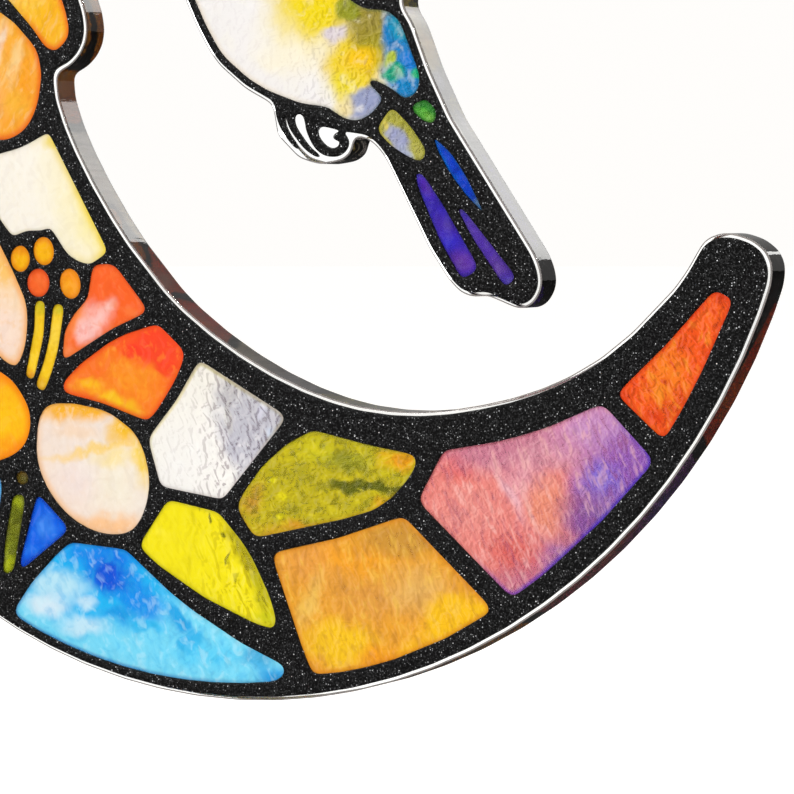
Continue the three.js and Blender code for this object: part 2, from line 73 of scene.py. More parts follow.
def makeCamera(s):
    a, e = math.radians(s["azimuth"]), math.radians(s["elevation"])
    back = Vector((math.sin(a) * math.cos(e), -math.cos(a) * math.cos(e), math.sin(e)))
    data = bpy.data.cameras.new("camera")
    data.lens = s["lens"]
    data.sensor_width = s["sensor"]
    data.clip_start, data.clip_end = s["clip"]
    camera = bpy.data.objects.new("camera", data)
    camera.location = Vector(s["aim"]) + back * s["distance"]
    camera.rotation_mode = "QUATERNION"
    camera.rotation_quaternion = (-back).to_track_quat("-Z", "Y")
    bpy.context.scene.collection.objects.link(camera)
    bpy.context.scene.camera = camera


makeCamera(cameraSet)


def linear(colour):  # screen colour 0-255 to linear light
    out = []
    for c in colour:
        c = c / 255
        out.append(c / 12.92 if c <= 0.04045 else ((c + 0.055) / 1.055) ** 2.4)
    return (*out, 1.0)


def addNode(tree, kind, values=None, **settings):
    node = tree.nodes.new(kind)
    for key, value in settings.items():
        setattr(node, key, value)
    for key, value in (values or {}).items():
        node.inputs[key].default_value = value
    return node


def newGroup(name, inputs, outputs):
    group = bpy.data.node_groups.new(name, "ShaderNodeTree")
    for direction, sockets in (("INPUT", inputs), ("OUTPUT", outputs)):
        for label, kind, value in sockets:
            full = "NodeSocket" + kind
            socket = group.interface.new_socket(name=label, in_out=direction, socket_type=full)
            if value is not None:
                socket.default_value = value
    return group, group.nodes.new("NodeGroupInput"), group.nodes.new("NodeGroupOutput")


def placeGroup(tree, group, values):
    node = tree.nodes.new("ShaderNodeGroup")
    node.node_tree = group
    for key, value in values.items():
        node.inputs[key].default_value = value
    return node


def mathNode(tree, operation, a, b=None, clamp=False):
    node = addNode(tree, "ShaderNodeMath", operation=operation, use_clamp=clamp)
    for i, x in enumerate((a, b)):
        if x is None:
            continue
        if isinstance(x, (int, float)):
            node.inputs[i].default_value = x
        else:
            tree.links.new(x, node.inputs[i])
    return node.outputs[0]


def vectorNode(tree, operation, a, b=None):
    node = addNode(tree, "ShaderNodeVectorMath", operation=operation)
    for i, x in enumerate((a, b)):
        if x is None:
            continue
        if isinstance(x, (tuple, list)):
            node.inputs[i].default_value = x
        else:
            tree.links.new(x, node.inputs[i])
    return node.outputs["Value"] if operation in ("LENGTH", "DOT_PRODUCT") else node.outputs["Vector"]


def rangeNode(tree, value, low, high, toLow=0.0, toHigh=1.0, smooth=True):
    node = addNode(tree, "ShaderNodeMapRange", interpolation_type="SMOOTHSTEP" if smooth else "LINEAR")
    tree.links.new(value, node.inputs["Value"])
    for key, x in (("From Min", low), ("From Max", high), ("To Min", toLow), ("To Max", toHigh)):
        if isinstance(x, (int, float)):
            node.inputs[key].default_value = x
        else:
            tree.links.new(x, node.inputs[key])
    return node.outputs["Result"]


def mixNode(tree, factor, under, over):
    node = addNode(tree, "ShaderNodeMix", data_type="RGBA")
    for socket, x in ((node.inputs[0], factor), (node.inputs[6], under), (node.inputs[7], over)):
        if isinstance(x, (int, float, tuple)):
            socket.default_value = x
        else:
            tree.links.new(x, socket)
    return node.outputs[2]


effectSet = {
    "hollows": (0.50, 0.30),  # cloud values between which the dark tone comes in
    "crests": (0.52, 0.70),  # and the light tone
    "flankStep": (0.20, 0.0, -0.14),  # second look at the wrinkles, for their slope, which picks the flank with painted highlight and the flank with painted shade
    "slope": (0.015, 0.10),
    # painted shade on the flanks turned from the light, then painted highlight on those turned to it
    "shadedFlank": (0.42, 0.36, 0.40),
    "litFlank": ((0.9, 0.9, 0.9), (0.22, 0.2, 0.18)),  # multiplied, then added
    "sideContrast": 3.0,
    # painted glints on the black leading: bright dots that stand in for tiny specular highlights
    "glintLayers": ((1.0, 0.30, 1.0), (1.63, 0.36, 0.4)),  # scale, radius, strength
    "glintCore": 0.45,
    "glintPower": 1.5,
    "gritScale": 5200.0,
    "gritTone": (0.45, 0.75, 0.0, 0.035),
}


def makeSoftArea():  # one broad soft-edged area of colour laid over another
    group, source, sink = newGroup(
        "softArea",
        [
            ("Under", "Color", None),
            ("Over", "Color", None),
            ("Place", "Vector", None),
            ("Centre", "Vector", None),
            ("Stretch", "Vector", None),
            ("Turn", "Float", 0.0),
            ("Soft", "Float", 0.5),
            ("Amount", "Float", 1.0),
        ],
        [("Color", "Color", None)],
    )
    away = vectorNode(group, "SUBTRACT", source.outputs["Place"], source.outputs["Centre"])
    turned = addNode(group, "ShaderNodeVectorRotate", rotation_type="Y_AXIS")
    group.links.new(away, turned.inputs["Vector"])
    group.links.new(source.outputs["Turn"], turned.inputs["Angle"])
    scaled = vectorNode(group, "MULTIPLY", turned.outputs[0], source.outputs["Stretch"])
    reach = vectorNode(group, "LENGTH", scaled)
    inner = mathNode(group, "SUBTRACT", 1.0, source.outputs["Soft"])
    mask = rangeNode(group, reach, 1.0, inner)
    mask = mathNode(group, "MULTIPLY", mask, source.outputs["Amount"], clamp=True)
    laid = mixNode(group, mask, source.outputs["Under"], source.outputs["Over"])
    group.links.new(laid, sink.inputs["Color"])
    return group


def makeGlassMottle():  # cloudy tone variation of stained glass, dark in its hollows, pale on its crests
    group, source, sink = newGroup(
        "glassMottle",
        [
            ("Color", "Color", None),
            ("Dark", "Color", None),
            ("Light", "Color", None),
            ("Stretch", "Vector", None),
            ("Turn", "Float", 0.0),
            ("Dark Amount", "Float", 0.2),
            ("Light Amount", "Float", 0.2),
        ],
        [("Color", "Color", None), ("Height", "Float", None)],
    )
    where = addNode(group, "ShaderNodeTexCoord")
    turned = addNode(group, "ShaderNodeVectorRotate", rotation_type="Y_AXIS")
    group.links.new(where.outputs["Object"], turned.inputs["Vector"])
    group.links.new(source.outputs["Turn"], turned.inputs["Angle"])
    scaled = vectorNode(group, "MULTIPLY", turned.outputs[0], source.outputs["Stretch"])
    cloudValues = {"Scale": 1.0, "Detail": 2.5, "Roughness": 0.5, "Distortion": 0.5}
    cloud = addNode(group, "ShaderNodeTexNoise", cloudValues)
    group.links.new(scaled, cloud.inputs["Vector"])
    dark = rangeNode(group, cloud.outputs["Fac"], *effectSet["hollows"])
    dark = mathNode(group, "MULTIPLY", dark, source.outputs["Dark Amount"], clamp=True)
    light = rangeNode(group, cloud.outputs["Fac"], *effectSet["crests"])
    light = mathNode(group, "MULTIPLY", light, source.outputs["Light Amount"], clamp=True)
    toned = mixNode(group, dark, source.outputs["Color"], source.outputs["Dark"])
    toned = mixNode(group, light, toned, source.outputs["Light"])
    group.links.new(toned, sink.inputs["Color"])
    group.links.new(cloud.outputs["Fac"], sink.inputs["Height"])
    return group


def makeCrinkle():  # small crests of wrinkled glass, with painted highlight on one flank and painted shade on the other, as if lit from one side
    group, source, sink = newGroup(
        "crinkle",
        [
            ("Color", "Color", None),
            ("Stretch", "Vector", None),
            ("Turn", "Float", 0.0),
            ("Highlight", "Float", 0.3),
            ("Shade", "Float", 0.3),
        ],
        [("Color", "Color", None), ("Height", "Float", None)],
    )
    where = addNode(group, "ShaderNodeTexCoord")
    turned = addNode(group, "ShaderNodeVectorRotate", rotation_type="Y_AXIS")
    group.links.new(where.outputs["Object"], turned.inputs["Vector"])
    group.links.new(source.outputs["Turn"], turned.inputs["Angle"])
    scaled = vectorNode(group, "MULTIPLY", turned.outputs[0], source.outputs["Stretch"])
    heights = []
    crestValues = {"Scale": 1.0, "Detail": 2.5, "Roughness": 0.55, "Distortion": 0.8}
    for offset in ((0.0, 0.0, 0.0), effectSet["flankStep"]):
        crest = addNode(group, "ShaderNodeTexNoise", crestValues)
        group.links.new(vectorNode(group, "ADD", scaled, offset), crest.inputs["Vector"])
        heights.append(crest.outputs["Fac"])
    # the slope picks the flank that gets painted highlight and the flank that gets painted shade
    slope = mathNode(group, "SUBTRACT", heights[0], heights[1])
    least, most = effectSet["slope"]
    pale = rangeNode(group, slope, least, most)
    pale = mathNode(group, "MULTIPLY", pale, source.outputs["Highlight"], clamp=True)
    deep = rangeNode(group, slope, -least, -most)
    deep = mathNode(group, "MULTIPLY", deep, source.outputs["Shade"], clamp=True)
    dimmed = vectorNode(group, "MULTIPLY", source.outputs["Color"], effectSet["shadedFlank"])
    toned = mixNode(group, deep, source.outputs["Color"], dimmed)
    gain, lift = effectSet["litFlank"]
    lifted = vectorNode(group, "ADD", vectorNode(group, "MULTIPLY", toned, gain), lift)
    group.links.new(mixNode(group, pale, toned, lifted), sink.inputs["Color"])
    group.links.new(heights[0], sink.inputs["Height"])
    return group


def makeRimTone():  # deeper colour where the glass runs up against the leading
    group, source, sink = newGroup(
        "rimTone",
        [
            ("Color", "Color", None),
            ("Rim", "Color", None),
            ("Place", "Vector", None),
            ("Side", "Vector", None),
            ("Everywhere", "Float", 1.0),
            ("Width", "Float", 0.5),
            ("Amount", "Float", 0.8),
        ],
        [("Color", "Color", None)],
    )
    edge = addNode(group, "ShaderNodeAttribute", attribute_name="edgeDistance")
    centred = vectorNode(group, "SUBTRACT", source.outputs["Place"], (0.5, 0.0, 0.5))
    facing = vectorNode(group, "DOT_PRODUCT", centred, source.outputs["Side"])
    facing = mathNode(group, "MULTIPLY", facing, effectSet["sideContrast"])
    facing = mathNode(group, "ADD", facing, source.outputs["Everywhere"], clamp=True)
    mask = rangeNode(group, edge.outputs["Fac"], source.outputs["Width"], 0.0)
    mask = mathNode(group, "MULTIPLY", mask, facing)
    mask = mathNode(group, "MULTIPLY", mask, source.outputs["Amount"], clamp=True)
    laid = mixNode(group, mask, source.outputs["Color"], source.outputs["Rim"])
    group.links.new(laid, sink.inputs["Color"])
    return group


def makeSparkle():  # grit of the raised leading, with bright dots painted in as glints of light
    group, source, sink = newGroup(
        "sparkle",
        [
            ("Ground", "Color", None),
            ("Glint", "Color", None),
            ("Size", "Float", 4200.0),
            ("Share", "Float", 0.3),
        ],
        [("Color", "Color", None), ("Mask", "Float", None), ("Height", "Float", None)],
    )
    where = addNode(group, "ShaderNodeTexCoord")
    masks = []
    for factor, radius, strength in effectSet["glintLayers"]:
        size = mathNode(group, "MULTIPLY", source.outputs["Size"], factor)
        cells = addNode(group, "ShaderNodeTexVoronoi", {"Randomness": 1.0})
        group.links.new(where.outputs["Object"], cells.inputs["Vector"])
        group.links.new(size, cells.inputs["Scale"])
        dot = rangeNode(group, cells.outputs["Distance"], radius, radius * effectSet["glintCore"])
        parts = addNode(group, "ShaderNodeSeparateColor")
        group.links.new(cells.outputs["Color"], parts.inputs[0])
        least = mathNode(group, "SUBTRACT", 1.0, source.outputs["Share"])
        chosen = rangeNode(group, parts.outputs[0], least, 1.0, 0.0, 1.0, smooth=False)
        gleam = mathNode(group, "POWER", chosen, effectSet["glintPower"])
        dot = mathNode(group, "MULTIPLY", dot, gleam)
        masks.append(mathNode(group, "MULTIPLY", dot, strength, clamp=True))
    mask = mathNode(group, "MAXIMUM", masks[0], masks[1])
    gritValues = {"Scale": effectSet["gritScale"], "Detail": 3.0, "Roughness": 0.6}
    grit = addNode(group, "ShaderNodeTexNoise", gritValues)
    group.links.new(where.outputs["Object"], grit.inputs["Vector"])
    dust = rangeNode(group, grit.outputs["Fac"], *effectSet["gritTone"])
    # the grit greys the ground a little, and the bright dots over it are painted highlights
    ground = mixNode(group, dust, source.outputs["Ground"], source.outputs["Glint"])
    group.links.new(mixNode(group, mask, ground, source.outputs["Glint"]), sink.inputs["Color"])
    group.links.new(mask, sink.inputs["Mask"])
    group.links.new(grit.outputs["Fac"], sink.inputs["Height"])
    return group


softArea = makeSoftArea()
glassMottle = makeGlassMottle()
crinkle = makeCrinkle()
rimTone = makeRimTone()
sparkle = makeSparkle()
print("shader groups built")


def frontOutline(node):  # only the edges round the front face of a node
    bm = bmesh.new()
    bm.from_mesh(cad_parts[node].data)
    bmesh.ops.remove_doubles(bm, verts=bm.verts, dist=mergeDistance)
    level = min(v.co.y for v in bm.verts)
    front = {f for f in bm.faces if all(abs(v.co.y - level) < 1e-6 for v in f.verts)}
    border = {e for e in bm.edges if sum(f in front for f in e.link_faces) == 1}
    bmesh.ops.delete(bm, geom=list(bm.faces), context="FACES_ONLY")
    bmesh.ops.delete(bm, geom=[e for e in bm.edges if e not in border], context="EDGES")
    bmesh.ops.delete(bm, geom=[v for v in bm.verts if not v.link_edges], context="VERTS")
    return bm


def ringsOf(bm):  # the closed outlines, each as its corners in order
    seen, rings = set(), []
    for start in bm.verts:
        if start in seen:
            continue
        ring, v, e = [start], start, start.link_edges[0]
        seen.add(start)
        while True:
            v = e.other_vert(v)
            if v == start or v in seen:
                break
            ring.append(v)
            seen.add(v)
            e = next(x for x in v.link_edges if x != e)
        rings.append(ring)
    return rings


def flowRing(ring, knots, cornerTurn):  # draws a smooth line through the knots, keeping the corners
    at = [i for i, v in enumerate(ring) if v in knots]
    if len(at) < 4:
        return
    points = np.array([(ring[i].co.x, ring[i].co.z) for i in at])
    step = np.roll(points, -1, 0) - points
    length = np.linalg.norm(step, axis=1)
    way = step / length[:, None]
    wayIn, lengthIn = np.roll(way, 1, 0), np.roll(length, 1)
    turn = np.degrees(np.arccos(np.clip((way * wayIn).sum(1), -1, 1)))
    sharp = turn > cornerTurn
    tangent = wayIn * length[:, None] + way * lengthIn[:, None]
    tangent /= np.linalg.norm(tangent, axis=1)[:, None]
    reach = np.minimum(length, lengthIn)
    count = len(ring)
    for k in range(len(at)):
        n = (k + 1) % len(at)
        a, b, d = points[k], points[n], way[k]
        ta, tb = tangent[k], tangent[n]
        if sharp[k] and sharp[n]:
            ta = tb = d
        elif sharp[k]:
            ta = 2 * d.dot(tb) * d - tb
        elif sharp[n]:
            tb = 2 * d.dot(ta) * d - ta
        ra = min(reach[k], length[k]) if not sharp[k] else length[k]
        rb = min(reach[n], length[k]) if not sharp[n] else length[k]
        gap = (at[n] - at[k]) % count
        for j in range(1, gap):
            t = j / gap
            h = (2 * t**3 - 3 * t**2 + 1, t**3 - 2 * t**2 + t, -2 * t**3 + 3 * t**2, t**3 - t**2)
            p = h[0] * a + h[1] * ra * ta + h[2] * b + h[3] * rb * tb
            v = ring[(at[k] + j) % count]
            v.co.x, v.co.z = p


def roundRise(distance, radius):  # 0 at the edge, 1 where a quarter round has reached the top
    t = min(1.0, distance / radius)
    return math.sqrt(max(0.0, 1 - (1 - t) ** 2))


def smoothOutline(bm, spacing, cornerTurn, passes):
    knots = set(bm.verts)
    byCuts = {}
    for e in bm.edges:
        byCuts.setdefault(math.ceil(e.calc_length() / spacing) - 1, []).append(e)
    for cuts, edges in sorted(byCuts.items()):
        if cuts > 0:
            bmesh.ops.subdivide_edges(bm, edges=edges, cuts=cuts)
    for ring in ringsOf(bm):
        flowRing(ring, knots, cornerTurn)
    for _ in range(passes):
        bmesh.ops.smooth_vert(bm, verts=bm.verts, factor=0.5, use_axis_x=True, use_axis_z=True)


def shiftRing(ring, amount):  # moves one closed outline outwards
    points = np.array([(v.co.x, v.co.z) for v in ring])
    after, before = np.roll(points, -1, 0), np.roll(points, 1, 0)
    area = (points[:, 0] * after[:, 1] - after[:, 0] * points[:, 1]).sum()
    way = after - before
    way /= np.maximum(np.linalg.norm(way, axis=1), 1e-6)[:, None]
    normal = np.stack([way[:, 1], -way[:, 0]], 1) * (1 if area > 0 else -1)
    for v, n in zip(ring, normal):
        v.co.x += n[0] * amount
        v.co.z += n[1] * amount


def trimPlate(bm, amount):  # draws the edge in, round the outside and round any opening
    rings = ringsOf(bm)
    spans = [max(v.co.x for v in ring) - min(v.co.x for v in ring) for ring in rings]
    for ring, span in zip(rings, spans):
        shiftRing(ring, -amount if span == max(spans) else amount)


class EdgeFinder:  # distance from a point to the outline
    def __init__(self, bm):
        self.points, self.before, self.after = [], [], []
        for ring in ringsOf(bm):
            row = [(v.co.x, v.co.z) for v in ring]
            self.points += row
            self.before += row[-1:] + row[:-1]
            self.after += row[1:] + row[:1]
        self.points, self.before, self.after = (np.array(x) for x in (self.points, self.before, self.after))
        self.tree = kdtree.KDTree(len(self.points))
        for i, (x, z) in enumerate(self.points):
            self.tree.insert((x, 0, z), i)
        self.tree.balance()

    def distances(self, verts):
        place = np.array([(v.co.x, v.co.z) for v in verts])
        near = np.array([self.tree.find((x, 0, z))[1] for x, z in place])
        best = None
        for other in (self.before, self.after):
            a, b = self.points[near], other[near]
            ab = b - a
            t = np.clip(((place - a) * ab).sum(1) / np.maximum((ab * ab).sum(1), 1e-18), 0, 1)
            d = np.linalg.norm(place - a - ab * t[:, None], axis=1)
            best = d if best is None else np.minimum(best, d)
        return best


def fillFront(bm):  # fills the outlines with faces that look to the front
    edges = bm.edges[:]
    bmesh.ops.triangle_fill(bm, use_beauty=True, use_dissolve=False, edges=edges, normal=(0, -1, 0))
    for f in bm.faces:
        f.normal_update()
        if f.normal.y > 0:
            f.normal_flip()


def insetRows(bm, width, shares):  # rows of narrow faces along the outline, each inside the last
    inner = bm.faces[:]
    for share in shares:
        bmesh.ops.inset_region(
            bm, faces=inner, thickness=width * share, use_boundary=True, use_even_offset=False
        )


def cutAcross(bm, place, normal, dist):
    everything = bm.verts[:] + bm.edges[:] + bm.faces[:]
    bmesh.ops.bisect_plane(bm, geom=everything, dist=dist, plane_co=place, plane_no=normal)


def gridCut(bm, step, firstCut=0.53):  # cuts the front into a fine net for the relief
    spans = [(min(v.co[i] for v in bm.verts), max(v.co[i] for v in bm.verts)) for i in (0, 2)]
    for (low, high), normal in zip(spans, ((1, 0, 0), (0, 0, 1))):
        cut = low + step * firstCut
        while cut < high:
            place = (cut, 0, 0) if normal[0] else (0, 0, cut)
            cutAcross(bm, place, normal, mergeDistance)
            cut += step


def closeBehind(bm, level):  # side walls down to a flat back
    border = [e for e in bm.edges if len(e.link_faces) == 1]
    made = bmesh.ops.extrude_edge_only(bm, edges=border)["geom"]
    rim = [g for g in made if isinstance(g, bmesh.types.BMVert)]
    for v in rim:
        v.co.y = level
    back = [e for e in made if isinstance(e, bmesh.types.BMEdge)]
    bmesh.ops.triangle_fill(bm, use_beauty=True, use_dissolve=False, edges=back, normal=(0, 1, 0))
    bmesh.ops.recalc_face_normals(bm, faces=bm.faces)


def makePiece(bm, name, materials, nodes):
    bmesh.ops.triangulate(bm, faces=[f for f in bm.faces if len(f.verts) > 4])
    mesh = bpy.data.meshes.new(name)
    bm.to_mesh(mesh)
    bm.free()
    for material in materials:
        mesh.materials.append(material)
    piece = bpy.data.objects.new(name, mesh)
    bpy.context.scene.collection.objects.link(piece)
    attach(piece, "root")
    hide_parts(*nodes)
    return piece


plateSet = {
    "spacing": 0.35 * mm,
    "cornerTurn": 70,
    "passes": 4,
    "trim": 0.14 * mm,
    "rimRadius": 0.14 * mm,
    "roughness": 0.015,
    "ior": 1.49,
    "tint": (252, 253, 252),
    "faceTint": (247, 249, 250),
    # painted shade: two dark tones on the clear cut edge, standing in for the dark it shows
    "wallShade": ((80, 74, 72), (58, 54, 53)),
    "rimRows": (0.3, 0.72),  # widths as shares of the rim's radius
    "support": 1.25,  # keeps the wall between the rims flat
    "flatFrom": 0.999,
    "sawDepth": (0.012 * mm, 0.036 * mm),  # face, cut edge
    "sawStrength": (0.05, 0.5),
    "sawScale": ((90, 90, 90), (1500, 190, 1500)),
    "sawTone": (0.35, 0.7),
}


def makeAcrylic(name, s, edge):  # edge is 0 for the faces and 1 for the cut edge
    material = bpy.data.materials.new(name)
    material.use_nodes = True
    tree = material.node_tree
    shader = tree.nodes["Principled BSDF"]
    shader.inputs["Base Color"].default_value = linear(s["tint"])
    shader.inputs["Roughness"].default_value = s["roughness"]
    shader.inputs["IOR"].default_value = s["ior"]
    shader.inputs["Transmission Weight"].default_value = 1.0
    where = addNode(tree, "ShaderNodeTexCoord")
    # on the edge the ripples of the cutter run through the thickness
    squeeze = vectorNode(tree, "MULTIPLY", where.outputs["Object"], s["sawScale"][edge])
    ripple = addNode(tree, "ShaderNodeTexNoise", {"Scale": 1.0, "Detail": 3.0, "Roughness": 0.55})
    tree.links.new(squeeze, ripple.inputs["Vector"])
    bumpValues = {"Strength": s["sawStrength"][edge], "Distance": s["sawDepth"][edge]}
    bump = addNode(tree, "ShaderNodeBump", bumpValues)
    tree.links.new(ripple.outputs["Fac"], bump.inputs["Height"])
    tree.links.new(bump.outputs["Normal"], shader.inputs["Normal"])
    # on the cut edge these two tones are painted shade; on the faces they are the plate's faint tint
    pale, deep = s["wallShade"] if edge else (s["tint"], s["faceTint"])
    share = rangeNode(tree, ripple.outputs["Fac"], *s["sawTone"])
    tone = mixNode(tree, share, linear(pale), linear(deep))
    tree.links.new(tone, shader.inputs["Base Color"])
    return material


def makePlate(s):
    bm = frontOutline("clear_plate")
    smoothOutline(bm, s["spacing"], s["cornerTurn"], s["passes"])
    trimPlate(bm, s["trim"])
    finder = EdgeFinder(bm)
    low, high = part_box("clear_plate")
    fillFront(bm)
    insetRows(bm, s["rimRadius"], s["rimRows"])
    cap = bm.faces[:]
    front = bm.verts[:]
    made = bmesh.ops.extrude_face_region(bm, geom=cap, use_keep_orig=True)["geom"]
    back = [g for g in made if isinstance(g, bmesh.types.BMVert)]
    backFaces = {g for g in made if isinstance(g, bmesh.types.BMFace)}
    for verts, level, sign in ((front, low.y, 1), (back, high.y, -1)):
        for v, d in zip(verts, finder.distances(verts)):
            v.co.y = level + sign * s["rimRadius"] * (1 - roundRise(d, s["rimRadius"]))
    for v in bm.verts:
        v.co.x = min(max(v.co.x, low.x), high.x)
        v.co.z = min(max(v.co.z, low.z), high.z)
    inward = s["rimRadius"] * s["support"]
    for level in (low.y + inward, high.y - inward):
        cutAcross(bm, (0, level, 0), (0, 1, 0), 1e-7)
    bmesh.ops.recalc_face_normals(bm, faces=bm.faces)
    for f in bm.faces:
        flat = abs(f.normal.y) > s["flatFrom"]
        f.smooth = not flat
        f.material_index = 0 if flat else 1
    materials = [makeAcrylic("clearAcrylicFace", s, 0), makeAcrylic("clearAcrylicCutEdge", s, 1)]
    return makePiece(bm, "clearPlate", materials, ["clear_plate"])


leadingSet = {
    "spacing": 0.3 * mm,
    "cornerTurn": 70,
    "passes": 6,
    "shoulder": 0.16 * mm,
    "sink": 0.02 * mm,
    "lump": 0.035 * mm,
    "lumpSize": 1.1 * mm,
    "grid": 1.3 * mm,
    "ground": (9, 9, 10),
    # colour of the painted glints, also mixed faintly into the grit
    "glint": (236, 239, 244),
    "glintSize": 4300.0,
    "glintShare": 0.25,
    "shoulderRows": (0.25, 0.3, 0.42),
    "upright": 0.5,  # share of the height that the side walls take
    "lumpFade": 0.5 * mm,
    "specular": 0.12,
    "roughness": (0.0, 0.6, 0.5, 0.3),  # glint mask from and to, roughness from and to
    "gritStrength": 0.6,
    "gritDepth": 0.05 * mm,
}


def makeLeadingMaterial(s):
    material = bpy.data.materials.new("blackLeading")
    material.use_nodes = True
    tree = material.node_tree
    shader = tree.nodes["Principled BSDF"]
    shader.inputs["Specular IOR Level"].default_value = s["specular"]
    # the bright dots in the base colour are painted highlights
    glintValues = {
        "Ground": linear(s["ground"]),
        "Glint": linear(s["glint"]),
        "Size": s["glintSize"],
        "Share": s["glintShare"],
    }
    grit = placeGroup(tree, sparkle, glintValues)
    tree.links.new(grit.outputs["Color"], shader.inputs["Base Color"])
    rough = rangeNode(tree, grit.outputs["Mask"], *s["roughness"])
    tree.links.new(rough, shader.inputs["Roughness"])
    bump = addNode(tree, "ShaderNodeBump", {"Strength": s["gritStrength"], "Distance": s["gritDepth"]})
    tree.links.new(grit.outputs["Height"], bump.inputs["Height"])
    tree.links.new(bump.outputs["Normal"], shader.inputs["Normal"])
    return material


def makeLeading(s):
    bm = frontOutline("black_leading")
    smoothOutline(bm, s["spacing"], s["cornerTurn"], s["passes"])
    finder = EdgeFinder(bm)
    low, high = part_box("black_leading")
    fillFront(bm)
    insetRows(bm, s["shoulder"], s["shoulderRows"])
    gridCut(bm, s["grid"])
    height = high.y - low.y
    verts = bm.verts[:]
    for v, d in zip(verts, finder.distances(verts)):
        rise = s["upright"] + (1 - s["upright"]) * roundRise(d, s["shoulder"])
        wide = min(1.0, d / s["lumpFade"])
        lump = noise.noise(Vector((v.co.x, 0, v.co.z)) / s["lumpSize"]) * 0.5 + 0.5
        v.co.y = high.y - height * rise + s["lump"] * lump * wide
    closeBehind(bm, high.y + s["sink"])
    for f in bm.faces:
        f.smooth = abs(f.normal.y - 1) > 0.01
    materials = [makeLeadingMaterial(s)]
    return makePiece(bm, "blackLeading", materials, ["black_leading"])


softCrinkle = (1.8, 2.2, 20, 0.1, 0.06, -2.0, -1.0)
